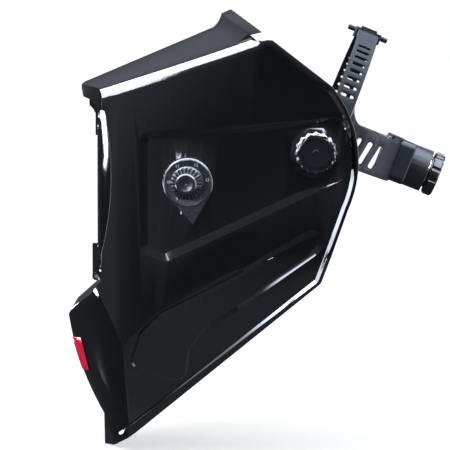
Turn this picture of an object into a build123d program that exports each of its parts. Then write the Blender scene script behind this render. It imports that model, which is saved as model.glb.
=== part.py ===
from build123d import *
import math
import os

# Auto-darkening welding helmet: gloss shell with a hinged cover-lens frame, a filter
# cartridge, a shade dial on the wearer's left side and ratchet headgear.
# Millimetres. +Z up, the face looks along -Y, the wearer's left is +X.
# The origin is the middle of the side pivot axis, between the wearer's temples.

# ---- shell form ----
shell_wall = 2.6
side_half_width = 117.5        # half width at the widest station
side_station_y = -35.0         # where the sides are widest
side_station_z = 50.0
side_radius = 390.0            # bow of each side in plan
side_lean = 4.5                # degrees, the sides close in going down
jaw_rear = Vector(95.0, 4.6, -100.3)     # three points of the jaw plane
jaw_front = Vector(50.0, -135.0, -220.0)
jaw_top = Vector(106.0, -55.0, -88.0)
ridge_front_y = -160.0         # roof ridge: two stations
ridge_front_z = 59.7
ridge_rear_y = -35.0
ridge_rear_z = 112.6
roof_radius_front = 426.0     # roof crown radius at the two stations
roof_radius_rear = 329.0
roof_edge_round = 10.0
roof_edge_x = 60.0             # the roof's long edges lie further out
roof_edge_length = 120.0       # and are longer
roof_edge_z = 30.0             # and their middles are higher
front_face_y = -163.0          # flat face that carries the window
facet_depth = 7.4              # hollow facets at both front corners
facet_turn = 53.0              # degrees from straight ahead
facet_radius = 400.0
facet_corner_x = 90.7
facet_middle_z = -36.0
chin_corner = Vector(40.0, -188.0, -126.0)   # three points of the chin plane
chin_cheek = Vector(88.0, -158.0, -116.0)
chin_tip = Vector(28.0, -156.0, -226.0)
nose_y = -190.2
nose_z = -128.5
chin_end_y = -154.9
chin_end_z = -219.5
chin_bow = 6.5
shelf_y = -171.9
shelf_z = -110.6
brow_tip_y = -181.0
brow_top_z = 52.0
brow_under_z = 40.8
brow_bow_radius = 245.0
rear_cut_y = -63.6             # top of the rear opening
rear_cut_z = 108.3
rear_shoulder_y = 12.5
rear_shoulder_z = 49.5
rear_most_y = 32.6
rear_most_z = -7.0
rear_waist_y = 25.0
rear_waist_z = -43.0
rear_corner_y = 4.6
rear_corner_z = -100.3
rear_corner_round = 9.0
bottom_bend_y = -139.0
bottom_bend_z = -221.0
bottom_tip_y = -156.0
bottom_tip_z = -233.0
rim_width = 7.0                # flared rim round the opening
rim_flare = 2.4
rim_crown = 5.5                # extra flare on the centre line of the roof
relief_depth = 1.3             # sunken panels in the sides
panel_round = 9.0
channel_round = 9.0
form_reach = 300.0             # half size of the blocks that trim the form
roof_stations = (-215.0, 45.0)      # the roof is lofted between these
facet_corner_drop = 2.5        # the facet's corner lies this far ahead of the front face
chin_shoulder_y = 3.5          # short slope above the nose
chin_shoulder_z = 6.0
chin_roof_z = -99.0            # the chin's form reaches up into the front face
brow_foot_z = 31.0
brow_nose_round = 5.0
brow_slope = 0.4               # share of the inset by which the brow's underside rises
bow_front_y = -240.0           # limits of the side view that clear the whole form
bow_top_z = 170.0
panel_corners = ((-133.0, 15.0), (22.0, 27.0), (22.0, -20.0), (-114.0, -84.0), (-133.0, -76.0))
channel_corners = (
    (-143.0, -166.0), (-134.0, -138.0), (-119.0, -122.0), (-55.0, -88.0), (6.0, -52.0),
    (6.0, -74.0), (-58.0, -121.0), (-84.0, -137.0), (-95.0, -153.0), (-98.6, -181.0),
)
opening_blend = 6.0            # the flared rim's inner face runs on past the edge

# ---- window and cover-lens frame ----
window_centre_z = -28.5
window_width = 104.0
window_height = 84.0
bezel_width = 148.0
bezel_height = 117.0
bezel_stand = 2.3
bezel_round = 7.0
window_round = 6.0
frame_round = 5.0
lens_round = 3.0
frame_bevel = 0.8
ear_rise = 6.0                 # how far the frame's ears run up its lower edge
lens_width = 114.0
lens_height = 94.0
lens_thickness = 1.2
frame_width = 119.4
frame_height = 99.4
frame_stand = 3.6
frame_view_width = 98.0
frame_view_height = 62.0
frame_gap = 0.3
frame_hinge_y = -167.6
frame_hinge_z = -97.5
frame_hinge_radius = 1.5
frame_ear_x = 52.0
frame_ear_thick = 5.0
hinge_lug_thick = 4.0
hinge_lug_radius = 3.2
tab_half_width = 14.0
tab_y = -174.6
tab_top_z = 39.6
running_gap = 0.05             # radial, shafts in bores
seat_gap = 0.2                 # flat faces that lie on each other

# ---- filter cartridge ----
cartridge_width = 110.0
cartridge_height = 90.0
cartridge_front_depth = 5.0
cartridge_rear_depth = 8.0
cartridge_wall = 2.0
view_width = 96.0
view_height = 44.0
view_rise = 6.0                # view centre above the cartridge centre
glass_thickness = 3.6
glass_border = 3.0
holder_wall = 2.4
holder_gap = 0.3
holder_round = 5.0
holder_screw_rise = 30.0       # screws above and below the middle
holder_ear_gap = 0.6
holder_ear_thick = 2.0
hook_half_width = 9.0          # two hooks hold the cartridge in
hook_reach = 2.2
solar_width = 62.0
solar_height = 11.0
solar_drop = 27.5
sensor_radius = 3.6
sensor_depth = 1.0
sensor_x = 40.0
board_thickness = 1.2
board_height = 17.0
dial_knob_radius = 6.5
dial_knob_height = 3.6
dial_knob_stem = 2.0
dial_knob_grooves = 18
dial_knob_mark = 0.8           # pointer groove in the knob's face
control_drop = 29.0
sensitivity_x = -34.0
delay_x = -14.0
test_button_x = 6.0
mode_switch_x = 21.0
tray_x = 41.0
tray_width = 23.0
tray_height = 24.0
tray_depth = 5.0
cell_radius = 10.0
cell_thickness = 3.2

inner_lens_border = 2.4
inner_lens_thickness = 1.0
button_radius = 3.0
button_travel = 0.8
button_stand = 1.6
switch_travel = 4.0
screw_radius = 1.3
holder_post_radius = 3.2
holder_post_height = 3.0
lens_front_y = front_face_y - seat_gap - lens_thickness
hinge_pin_end_x = frame_ear_x + frame_ear_thick / 2 + frame_gap + hinge_lug_thick
tab_foot_z = 10.0
tab_neck_z = 30.0
tab_throat = 4.8               # depth of the finger hollow under the tab
inner_face_y = front_face_y + shell_wall
holder_front_y = inner_face_y + seat_gap
cartridge_front_y = holder_front_y + 1.6
cartridge_back_y = cartridge_front_y + cartridge_front_depth + 0.1 + cartridge_rear_depth
glass_front_y = cartridge_front_y + 1.2
board_back_y = cartridge_front_y + cartridge_front_depth + 0.3 + board_thickness
tray_front_y = cartridge_back_y - 6.6

# ---- shade dial ----
dial_y = -96.0
dial_z = -23.0
dial_radius = 19.0
dial_tip = 31.7
dial_plate = 2.6
dial_rise = 0.45               # the dial's seat stands over the panel's floor
dial_turn = 0.155              # the dial's own x runs aft along the bowed side
dial_tip_aft = 3.2
dial_bevel = 0.6
dial_ring_inset = 0.9
dial_seat_margin = 0.8         # the seat is this much larger than the plate
dial_ring_width = 1.3
dial_ring_height = 0.7
knob_skirt_radius = 12.8
knob_face_radius = 8.2
knob_height = 10.2
knob_dimple_radius = 5.2
knob_ribs = 24
knob_rib_width = 1.25
knob_skirt_height = 2.6
knob_dimple_sphere = 15.0
shaft_cover = 2.2              # knob material over the shaft's end
pot_size = 16.0
pot_depth = 8.0
bushing_radius = 3.5
pot_shaft_radius = 3.0
pot_nut_radius = 6.0
pot_nut_height = 2.0
cable_radius = 1.6
cable_route = ((89.5, -130.0, -31.0), (77.5, -144.0, -38.0))      # stations along the wall
cable_exit_x = 64.0
cable_entry = 3.0              # how far the cable reaches into the cartridge

pot_seat_depth = 3.2           # flat seat behind the wall
bushing_top = 6.6              # how far the bushing stands over the seat
cable_socket_y = -149.4        # where the cable enters the cartridge
cable_socket_z = -43.0
clip_width = 4.0
clip_wall = 1.6
clip_height = 5.0
clip_reach = 9.0

# ---- chin badge ----
badge_half_width = 41.0        # the plate wraps round both chin corners
badge_stand = 0.7
badge_seat = 0.02
badge_low = -173.0
badge_high = -147.0

# ---- pivots ----
pivot_boss_radius = 19.0
pivot_outer_x = 112.9          # flat seat of the tension knob
pivot_inner_x = 105.7          # flat seat of the friction washer
bolt_radius = 4.0
bolt_head_radius = 8.0
bolt_head_thick = 2.4
tension_knob_radius = 15.9
tension_knob_height = 8.2
tension_recess_radius = 11.2
tension_recess_depth = 5.2
tension_knob_lobes = 16
tension_lobe_radius = 4.6
tension_lobe_reach = 3.6       # lobe cutters stand this far outside the knob
tension_bevel = 1.6
cap_thickness = 1.2
cap_boss_radius = 2.2
cap_boss_rise = 0.5
washer_radius = 9.0
washer_thickness = 0.8
limiter_radius = 17.0
limiter_thickness = 1.6
limiter_peg_radius = 2.0
limiter_peg_orbit = 13.0
limiter_peg_angle = 200.0
raise_angle = 75.0
slide_travel = 18.0            # fore and aft adjustment
limiter_peg_length = 2.3
nut_thickness = 2.6
nut_share = 1.75               # nut's corner radius over the bolt's radius
arm_inner_x = 100.0            # inner face of the side arms

# ---- headgear, in its own tilted frame ----
headgear_tilt = 21.5           # degrees, the back of the headgear hangs low
hoop_half_width = 77.0
hoop_half_length = 86.0
hoop_centre = -22.0
band_thickness = 2.0
band_layer_gap = 0.1
rear_band_low = -2.5
rear_band_high = 29.5
front_band_low = 2.0
front_band_high = 27.0
rear_band_front = -66.0        # where the rear bands end over the front band
front_band_rear = 0.0
band_slot_length = 20.0
band_slot_width = 3.9
band_slot_lean = 9.5
band_slots = (28.6, 37.6, 46.6)       # stations on the left band
band_slots_right = (34.6, 43.6, 52.6)
strap_low = 0.0                # crown strap between these two stations
strap_high = 16.5
strap_top = 98.5
strap_thickness = 1.8
strap_half_width = 72.8
strap_base = 13.5              # height of the arch's widest point
strap_foot = 4.0
strap_slot_length = 10.5
strap_slot_width = 3.0
strap_slot_count = 8
strap_first_slot = 31.0        # degrees from the crown
strap_slot_pitch = 5.0
web_height = 15.0              # hollow corner between strap and band
slot_height = 11.7
slot_height_right = 10.0
strap_overlap = 18.0
buckle_half_length = 9.0
buckle_wall = 1.2
buckle_gap = 0.2
buckle_side = 2.2              # how far the sleeve stands past the strap's edges
buckle_bar_rise = 1.8
buckle_bar_half_length = 6.5
buckle_peg_radius = 1.9
buckle_peg_length = 7.0
arm_thickness = 3.0
arm_low = -11.0
arm_high = 24.0
arm_bend_front = (-60.0, -45.0, -31.0)      # stations of the bends
arm_bend_rear = (10.0, 15.5, 26.0)
arm_stand_front = 1.6          # half the arm's thickness and its seat
arm_stand_rear = 1.9
arm_front_rivet = -53.0        # stations of the rivets
arm_rear_rivet = 21.0
strap_rivet = 8.2
rivet_height = 12.0
rivet_clear = 0.3              # heads over the curved faces
foot_offset = 0.2              # the strap's foot lies inside the rear band
rear_layer = band_thickness + band_layer_gap
rivet_radius = 2.4
rivet_head_radius = 4.2
rivet_head_height = 1.0
sweatband_thickness = 6.5
sweatband_high = 32.0
sweatband_low = -3.0
sweatband_rear = -62.0
sweatband_round = 2.6
sweatband_channels = (-36.0, -18.0, 0.0, 18.0, 36.0)
rear_pad_round = 2.0
rear_pad_half_width = 28.0
rear_pad_channels = (-17.0, 0.0, 17.0)
channel_radius = 1.6
rear_pad_thickness = 6.0
pad_gap = 0.3

# ---- ratchet ----
ratchet_height = 33.4
ratchet_centre = 15.6
ratchet_half_width = 27.0
ratchet_box_end = 75.5
ratchet_barrel_end = 91.0
ratchet_knob_radius = 17.3
ratchet_knob_depth = 7.6
ratchet_neck = 1.4
ratchet_neck_radius = 12.5
ratchet_knob_lobes = 12
tooth_pitch = 3.0
pinion_teeth = 9
tooth_depth = 2.0
tooth_half_foot = 1.35         # half widths of the rack's notches
tooth_half_tip = 0.62
pinion_half_foot = 0.85        # half widths of the pinion's teeth
pinion_half_tip = 0.42
rack_steps = 7
ratchet_round = 5.0
ratchet_lobe_radius = 2.4
ratchet_lobe_reach = 1.2
ratchet_cover = 1.9            # knob material over the shaft's end
tongue_length = 22.0
tongue_height = 6.5
ratchet_shaft_radius = 3.0
tongue_start_x = 25.0
pinion_pitch_radius = pinion_teeth * tooth_pitch / (2 * math.pi)
pinion_end = 70.6
knob_start = ratchet_barrel_end + ratchet_neck + 0.8
cradle_half_width = 36.0
cradle_rise = 3.5              # the cradle stands this far over the rear bands


# ---------------------------------------------------------------- helpers

def half_space(point, normal, inset=0.0):
    """Everything on the inner side of a plane, moved inward by inset."""
    plane = Plane(origin=point - normal * inset, z_dir=normal)
    size = 4 * form_reach
    return plane * Box(size, size, size, align=(Align.CENTER, Align.CENTER, Align.MAX))


def plane_normal(a, b, c, outward):
    """Unit normal of three points, turned to the outward side."""
    normal = (b - a).cross(c - a).normalized()
    return normal if normal.dot(outward) > 0 else normal * -1


def mirrored(solid):
    """The same piece on the wearer's right side."""
    return mirror(solid, about=Plane.YZ)


def side_prism(outline):
    """A side-view outline in Y and Z, carried across the whole width."""
    return extrude(outline, amount=form_reach, both=True)


def side_face(*edges):
    """A face in the YZ plane from edges drawn with (y, z) points."""
    return Plane.YZ * make_face(edges)


def front_plate(width, height, round_radius, y_front, depth, centre_z=window_centre_z):
    """A rounded rectangular plate that faces forward."""
    plane = Plane(origin=(0, y_front, centre_z), x_dir=(1, 0, 0), z_dir=(0, 1, 0))
    return plane * extrude(RectangleRounded(width, height, round_radius), amount=depth)


def rear_disc(x, z, radius, y_front, depth):
    """A disc with its axis fore and aft."""
    plane = Plane(origin=(x, y_front, z), x_dir=(1, 0, 0), z_dir=(0, 1, 0))
    return plane * Cylinder(radius, depth, align=(Align.CENTER, Align.CENTER, Align.MIN))


def side_disc(radius, x_from, x_to, y=0.0, z=0.0):
    """A disc with its axis across the helmet."""
    plane = Plane(origin=(x_from, y, z), z_dir=(1, 0, 0))
    return plane * Cylinder(radius, x_to - x_from, align=(Align.CENTER, Align.CENTER, Align.MIN))


def headgear(solid):
    """From the headgear's own level frame to the helmet frame."""
    return Rot(X=-headgear_tilt) * solid


def hoop(offset):
    """The solid inside the headband's oval, grown by offset."""
    oval = Ellipse(hoop_half_width + offset, hoop_half_length + offset)
    return Pos(0, hoop_centre, 0) * extrude(oval, amount=form_reach, both=True)


def block(x_range, y_range, z_range):
    """A plain block between three pairs of limits."""
    size = [high - low for low, high in (x_range, y_range, z_range)]
    centre = [(low + high) / 2 for low, high in (x_range, y_range, z_range)]
    return Pos(*centre) * Box(*size)


def hoop_ring(inner, outer, low, high):
    """A band of the oval between two offsets and two heights."""
    return (hoop(outer) - hoop(inner)) & block((-200, 200), (-200, 200), (low, high))


# ---------------------------------------------------------------- shell form

def side_x(y, z):
    """Where the outer side surface lies at a point of the side view."""
    bow = (y - side_station_y) ** 2 / (2 * side_radius)
    lean = math.tan(math.radians(side_lean)) * (side_station_z - z)
    return side_half_width - bow - lean


def side_normal(y):
    """The outward normal of the side surface at a station."""
    slope_y = -(y - side_station_y) / side_radius
    slope_z = math.tan(math.radians(side_lean))
    return Vector(1, -slope_y, -slope_z).normalized()


def form_sides(inset):
    axis_x = side_half_width - side_radius / math.cos(math.radians(side_lean))
    place = Pos(axis_x, side_station_y, side_station_z) * Rot(Y=side_lean)
    bowed = place * Cylinder(side_radius - inset, 4 * form_reach)
    jaw = half_space(jaw_rear, plane_normal(jaw_rear, jaw_front, jaw_top, Vector(1, 0, -1)), inset)
    near = bowed & jaw
    return near & mirrored(near)


def roof_section(y, inset, crown):
    share = (y - ridge_front_y) / (ridge_rear_y - ridge_front_y)
    slope = (ridge_rear_z - ridge_front_z) / (ridge_rear_y - ridge_front_y)
    drop = inset * math.hypot(1, slope)
    ridge = ridge_front_z + share * (ridge_rear_z - ridge_front_z) - drop + crown
    radius = roof_radius_front + share * (roof_radius_rear - roof_radius_front) - inset
    half = side_half_width + 8
    fall = radius - math.sqrt(radius ** 2 - half ** 2) + crown
    arch = ThreePointArc((-half, ridge - fall), (0, ridge), (half, ridge - fall))
    base = Polyline((half, ridge - fall), (half, -form_reach), (-half, -form_reach), (-half, ridge - fall))
    section = make_face([arch, base])
    return Plane(origin=(0, y, 0), x_dir=(1, 0, 0), z_dir=(0, -1, 0)) * section


def form_roof(inset, crown=0.0):
    sections = [roof_section(y, inset, crown) for y in roof_stations]
    return loft(sections, ruled=True)


def form_facet(inset):
    """The hollow cutter of one front corner."""
    turn = math.radians(facet_turn)
    outward = Vector(math.cos(turn), -math.sin(turn), 0)
    corner = Vector(facet_corner_x, front_face_y - facet_corner_drop, facet_middle_z)
    centre = corner + outward * (facet_radius - facet_depth)
    along = Vector(math.sin(turn), math.cos(turn), 0)
    plane = Plane(origin=centre, x_dir=(0, 0, 1), z_dir=along)
    return plane * Cylinder(facet_radius + inset, 2 * form_reach)


def form_cheeks(inset):
    """Inside both chin planes."""
    near = half_space(chin_corner, plane_normal(chin_corner, chin_cheek, chin_tip, Vector(1, -1, 0)), inset)
    return near & mirrored(near)


def form_core(inset):
    face = half_space(Vector(0, front_face_y, 0), Vector(0, -1, 0), inset)
    core = face & form_cheeks(inset)
    core -= form_facet(inset)
    core -= mirrored(form_facet(inset))
    return core


def form_chin(inset):
    nose = (nose_y + inset, nose_z)
    end = (chin_end_y + inset, chin_end_z)
    bow = ((nose[0] + end[0]) / 2 - chin_bow, (nose[1] + end[1]) / 2)
    outline = side_face(
        Polyline((0, chin_roof_z), (front_face_y + inset, chin_roof_z), (shelf_y + inset, shelf_z - inset)),
        Polyline((shelf_y + inset, shelf_z - inset),
                 (nose[0] + chin_shoulder_y, nose[1] + chin_shoulder_z - inset), nose),
        ThreePointArc(nose, bow, end),
        Polyline(end, (end[0], -form_reach), (0, -form_reach), (0, chin_roof_z)),
    )
    return side_prism(outline) & form_cheeks(inset)


def form_brow(inset):
    outline = side_face(Polyline(
        (-120, 90), (-172, 90), (brow_tip_y + brow_nose_round + inset, brow_top_z + 2 - inset),
        (brow_tip_y + inset, brow_top_z - 3 - inset / 2),
        (brow_tip_y + 2.6 + inset, brow_under_z + inset * brow_slope),
        (front_face_y - 6 + inset, brow_under_z - 2.4 + inset * brow_slope),
        (front_face_y + inset, brow_foot_z), (-120, brow_foot_z), (-120, 90),
    ))
    bow = Pos(0, brow_tip_y + brow_bow_radius, 0) * Cylinder(brow_bow_radius - inset, 4 * form_reach)
    return side_prism(outline) & bow


def is_roof_edge(edge):
    """The long edge between the roof and a side."""
    middle = edge @ 0.5
    return abs(middle.X) > roof_edge_x and middle.Z > roof_edge_z and edge.length > roof_edge_length


def sharp_form(inset, crown=0.0):
    """The whole outer form moved inward by inset, still closed all round."""
    front = form_core(inset) + form_chin(inset) + form_brow(inset)
    return front & form_sides(inset) & form_roof(inset, crown)


def form(inset, crown=0.0):
    """The form with its roof edges rounded."""
    whole = sharp_form(inset, crown)
    edges = [edge for edge in whole.edges() if is_roof_edge(edge)]
    return fillet(edges, roof_edge_round - inset)


def opening_outline(shrink=0.0):
    """Side view of what the shell keeps: forward of its rear and bottom edge."""
    slope = (rear_shoulder_z - rear_cut_z) / (rear_shoulder_y - rear_cut_y)
    far_y = rear_cut_y + (bow_top_z - rear_cut_z) / slope
    shoulder = (rear_shoulder_y, rear_shoulder_z)
    waist = (rear_waist_y, rear_waist_z)
    outline = side_face(
        Polyline((bow_front_y, bow_top_z), (far_y, bow_top_z), shoulder),
        ThreePointArc(shoulder, (rear_most_y, rear_most_z), waist),
        Polyline(waist, (rear_corner_y, rear_corner_z), (bottom_bend_y, bottom_bend_z),
                 (bottom_tip_y, bottom_tip_z), (bow_front_y, bottom_tip_z), (bow_front_y, bow_top_z)),
    )
    corner = outline.vertices().sort_by_distance((0, rear_corner_y, rear_corner_z))[0]
    outline = fillet(corner, rear_corner_round)
    if shrink:
        outline = offset(outline, amount=-shrink, kind=Kind.INTERSECTION)
    return outline


def panel_outline(grow=0.0):
    """Sunken panel round the dial and the pivot."""
    outline = side_face(Polyline(*panel_corners, panel_corners[0]))
    outline = fillet(outline.vertices(), panel_round)
    return offset(outline, amount=grow) if grow else outline


def channel_outline(grow=0.0):
    """Sunken channel that runs from the jaw up to the rear edge."""
    outline = side_face(Polyline(*channel_corners, channel_corners[0]))
    outline = fillet(outline.vertices(), channel_round)
    return offset(outline, amount=grow) if grow else outline


def relief_cut(inset):
    """What the two sunken areas take off a form of that inset."""
    keep = sharp_form(inset + relief_depth)
    areas = side_prism(panel_outline(inset)) + side_prism(channel_outline(inset))
    return areas - keep


def dial_plane(rise=0.0):
    """Plane of the shade dial's seat: its x runs aft and its y runs up."""
    normal = side_normal(dial_y)
    depth = relief_depth - dial_rise
    origin = Vector(side_x(dial_y, dial_z), dial_y, dial_z) + normal * (rise - depth)
    return Plane(origin=origin, x_dir=(dial_turn, 1, 0), z_dir=normal)


def teardrop(grow=0.0):
    """The dial plate's outline: a disc with a pointed lower end."""
    radius = dial_radius + grow
    tip = (dial_tip_aft, -dial_tip - grow)
    spread = math.degrees(math.acos(radius / math.hypot(*tip)))
    heading = math.degrees(math.atan2(tip[1], tip[0]))
    ends = []
    for turn in (heading - spread, heading + spread):
        ends.append((radius * math.cos(math.radians(turn)), radius * math.sin(math.radians(turn))))
    return Circle(radius) + make_face(Polyline(ends[0], tip, ends[1], (0, 0), ends[0]))


def shell_mouldings():
    """Seats, bezel, bosses and lugs moulded on the shell."""
    bezel = front_plate(bezel_width, bezel_height, bezel_round, front_face_y - bezel_stand,
                        bezel_stand + shell_wall / 2)
    dial_seat = dial_plane() * extrude(teardrop(dial_seat_margin), amount=-shell_wall)
    pot_seat = dial_plane() * extrude(Circle(pot_size * 0.8), amount=-pot_seat_depth)
    boss = side_disc(pivot_boss_radius, pivot_inner_x, pivot_outer_x)
    turn = math.radians(limiter_peg_angle)
    peg = side_disc(limiter_peg_radius, pivot_inner_x - limiter_peg_length, pivot_inner_x + 1,
                    limiter_peg_orbit * math.cos(turn), limiter_peg_orbit * math.sin(turn))
    lug = hinge_lug()
    posts = [rear_disc(x, z, holder_post_radius, inner_face_y - 1, holder_post_height + 1)
             for x, z in holder_screw_places()]
    pairs = [boss, peg, lug]
    return [bezel, dial_seat, pot_seat] + pairs + [mirrored(one) for one in pairs] + posts


def hinge_lug():
    """Ear on the shell that holds a pin of the lens frame."""
    lug_x = frame_ear_x + frame_ear_thick / 2 + frame_gap
    disc = side_disc(hinge_lug_radius, lug_x, lug_x + hinge_lug_thick, frame_hinge_y, frame_hinge_z)
    foot = block((lug_x, lug_x + hinge_lug_thick), (frame_hinge_y, front_face_y + shell_wall / 2),
                 (frame_hinge_z - hinge_lug_radius, frame_hinge_z + hinge_lug_radius))
    return disc + foot


def shell_openings():
    """Window, frame recess, bores and screw holes."""
    frame_hole = front_plate(frame_width + 2 * frame_gap, frame_height + 2 * frame_gap, frame_round + frame_gap,
                             front_face_y - bezel_stand, bezel_stand)
    window = front_plate(window_width, window_height, window_round, front_face_y, 2 * shell_wall)
    bore = side_disc(bolt_radius + running_gap, 0, form_reach)
    bushing = dial_plane() * Cylinder(bushing_radius + running_gap, 6 * shell_wall)
    pin = side_disc(frame_hinge_radius + running_gap, -form_reach, form_reach, frame_hinge_y, frame_hinge_z)
    pin &= block((-hinge_pin_end_x, hinge_pin_end_x), (-form_reach, 0), (-form_reach, 0))
    flat = side_disc(tension_knob_radius + frame_gap, pivot_outer_x, form_reach)
    dial_flat = dial_plane() * extrude(teardrop(frame_gap), amount=knob_height)
    cuts = [frame_hole, window, bore, mirrored(bore), bushing, pin, flat, mirrored(flat), dial_flat]
    for x, z in holder_screw_places():
        cuts.append(rear_disc(x, z, screw_radius + running_gap, inner_face_y + 0.5, holder_post_height + 1))
    return cuts


def make_shell():
    opening = side_prism(opening_outline())
    band = opening - side_prism(opening_outline(rim_width))
    inner_band = side_prism(offset(opening_outline(), amount=opening_blend, kind=Kind.INTERSECTION))
    inner_band -= side_prism(opening_outline(rim_width - shell_wall))
    outer = form(0)
    outer -= relief_cut(0)
    behind_chin = block((-form_reach, form_reach), (chin_end_y, form_reach), (-form_reach, form_reach))
    outer += form(-rim_flare, rim_crown) & band & behind_chin
    inner = form(shell_wall)
    inner -= relief_cut(shell_wall)
    inner += form(shell_wall - rim_flare, rim_crown) & inner_band
    shell = (outer & opening) - inner
    for moulding in shell_mouldings():
        shell += moulding
    for cut in shell_openings():
        shell -= cut
    return shell


# ---------------------------------------------------------------- window

def make_lens_frame():
    """Snap-in frame that carries the cover lens and swings down on two ears."""
    front = front_face_y - frame_stand
    back = front_face_y - seat_gap
    frame = front_plate(frame_width, frame_height, frame_round, front, back - front)
    frame -= front_plate(frame_view_width, frame_view_height, window_round, front, back - front)
    frame = chamfer(frame.edges().filter_by(Plane.XZ).group_by(Axis.Y)[0], frame_bevel)
    frame -= front_plate(lens_width + 2 * seat_gap, lens_height + 2 * seat_gap, lens_round + seat_gap,
                         lens_front_y, form_reach)
    ear_front = frame_hinge_y - hinge_lug_radius
    ear_back = front_face_y - bezel_stand - frame_gap
    low = window_centre_z - frame_height / 2
    ears = []
    for side in (-1, 1):
        near = side * frame_ear_x - frame_ear_thick / 2
        ear = side_disc(hinge_lug_radius, near, near + frame_ear_thick, frame_hinge_y, frame_hinge_z)
        ear += block((near, near + frame_ear_thick), (ear_front, ear_back), (frame_hinge_z, low + ear_rise))
        ears.append(ear)
    frame += ears
    tab = side_face(Polyline(
        (tab_y, tab_top_z - 0.4), (tab_y, tab_top_z - 6.0), (tab_y + 3.0, tab_top_z - 9.0),
        (tab_y + tab_throat, tab_top_z - 12.5), (tab_y + tab_throat, tab_foot_z), (front + 0.2, tab_foot_z),
        (front + 0.2, tab_neck_z), (front - 0.6, tab_top_z - 6.6), (tab_y + 4.4, tab_top_z - 1.5),
        (tab_y, tab_top_z - 0.4)))
    frame += extrude(tab, amount=tab_half_width, both=True)
    pin = side_disc(frame_hinge_radius + running_gap, -form_reach, form_reach, frame_hinge_y, frame_hinge_z)
    return frame - pin


def make_cover_lens():
    return front_plate(lens_width, lens_height, lens_round, lens_front_y, lens_thickness)


def make_frame_pins():
    low = frame_ear_x - frame_ear_thick / 2
    pin = side_disc(frame_hinge_radius, low, hinge_pin_end_x - running_gap, frame_hinge_y, frame_hinge_z)
    return Compound([pin, mirrored(pin)])


# ---------------------------------------------------------------- filter cartridge

def holder_screw_places():
    """Four screws at the corners of the cartridge holder."""
    x = cartridge_width / 2 + holder_wall + holder_post_radius + holder_ear_gap
    rises = (-holder_screw_rise, holder_screw_rise)
    return [(side * x, window_centre_z + rise) for side in (-1, 1) for rise in rises]


def tray_notch(gap):
    """Space of the battery tray in the cartridge, open at the bottom."""
    low = window_centre_z - cartridge_height / 2
    return block((tray_x - tray_width / 2 - gap, tray_x + tray_width / 2 + gap),
                 (tray_front_y - gap, tray_front_y + tray_depth + gap),
                 (low - 2 * holder_wall - 2, low + tray_height + gap))


def make_cartridge_holder():
    """Frame screwed inside the window that holds the filter cartridge."""
    depth = cartridge_back_y - holder_front_y
    grow = 2 * (holder_wall + holder_gap)
    holder = front_plate(cartridge_width + grow, cartridge_height + grow, holder_round, holder_front_y, depth)
    holder -= front_plate(cartridge_width + 2 * holder_gap, cartridge_height + 2 * holder_gap, 3.0,
                          cartridge_front_y - seat_gap, form_reach)
    holder -= front_plate(window_width, window_height, window_round, holder_front_y, depth)
    ears = []
    ear_front = inner_face_y + holder_post_height + seat_gap
    for x, z in holder_screw_places():
        reach = math.copysign(cartridge_width / 2 + holder_gap + holder_wall / 2, x)
        ear = rear_disc(x, z, holder_post_radius, ear_front, holder_ear_thick)
        limits = sorted((reach, x))
        ears.append(ear + block(limits, (ear_front, ear_front + holder_ear_thick), (z - 3.0, z + 3.0)))
    holder += ears
    hook_y = cartridge_back_y + seat_gap
    for side in (-1, 1):
        wall = window_centre_z + side * (cartridge_height / 2 + holder_gap)
        limits = sorted((wall - side * hook_reach, wall + side * holder_wall))
        thick = sorted((wall, wall + side * holder_wall))
        across = (-hook_half_width, hook_half_width)
        holder += block(across, (cartridge_back_y - 3, hook_y + 2.0), thick)
        holder += block(across, (hook_y, hook_y + 2.0), limits)
    holder -= tray_notch(holder_gap)
    holder -= cable_socket_hole(cable_radius + holder_wall)
    for x, z in holder_screw_places():
        holder -= rear_disc(x, z, screw_radius + running_gap, ear_front - 1, 5)
    return holder


def make_holder_screws():
    screws = []
    for x, z in holder_screw_places():
        seat = inner_face_y + holder_post_height + seat_gap + holder_ear_thick
        screws.append(rear_disc(x, z, screw_radius, inner_face_y + 1.0, seat - inner_face_y - 1.0)
                      + rear_disc(x, z, screw_radius * 1.9, seat, 1.6))
    return Compound(screws)


def view_plate(grow, y_front, depth, round_radius=4.0):
    """The filter's view, grown all round."""
    return front_plate(view_width + 2 * grow, view_height + 2 * grow, round_radius, y_front, depth,
                       window_centre_z + view_rise)


def make_filter_housing_front():
    housing = front_plate(cartridge_width, cartridge_height, 3.0, cartridge_front_y, cartridge_front_depth)
    housing -= view_plate(0, cartridge_front_y, cartridge_front_depth)
    housing -= view_plate(glass_border + seat_gap, glass_front_y, form_reach, 1.0)
    z = window_centre_z + view_rise - solar_drop
    housing -= front_plate(solar_width + 0.4, solar_height + 0.4, 1.0, cartridge_front_y, 1.2, z)
    for x in (-sensor_x, sensor_x):
        housing -= rear_disc(x, z, sensor_radius + 0.2, cartridge_front_y, sensor_depth + 0.15)
    return housing


def make_solar_cell():
    z = window_centre_z + view_rise - solar_drop
    return front_plate(solar_width, solar_height, 0.8, cartridge_front_y + 0.2, 0.9, z)


def make_arc_sensors():
    z = window_centre_z + view_rise - solar_drop
    return Compound([rear_disc(x, z, sensor_radius, cartridge_front_y + 0.1, sensor_depth)
                     for x in (-sensor_x, sensor_x)])


def make_filter_glass():
    return view_plate(glass_border, glass_front_y + 0.1, glass_thickness, 0.8)


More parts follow.
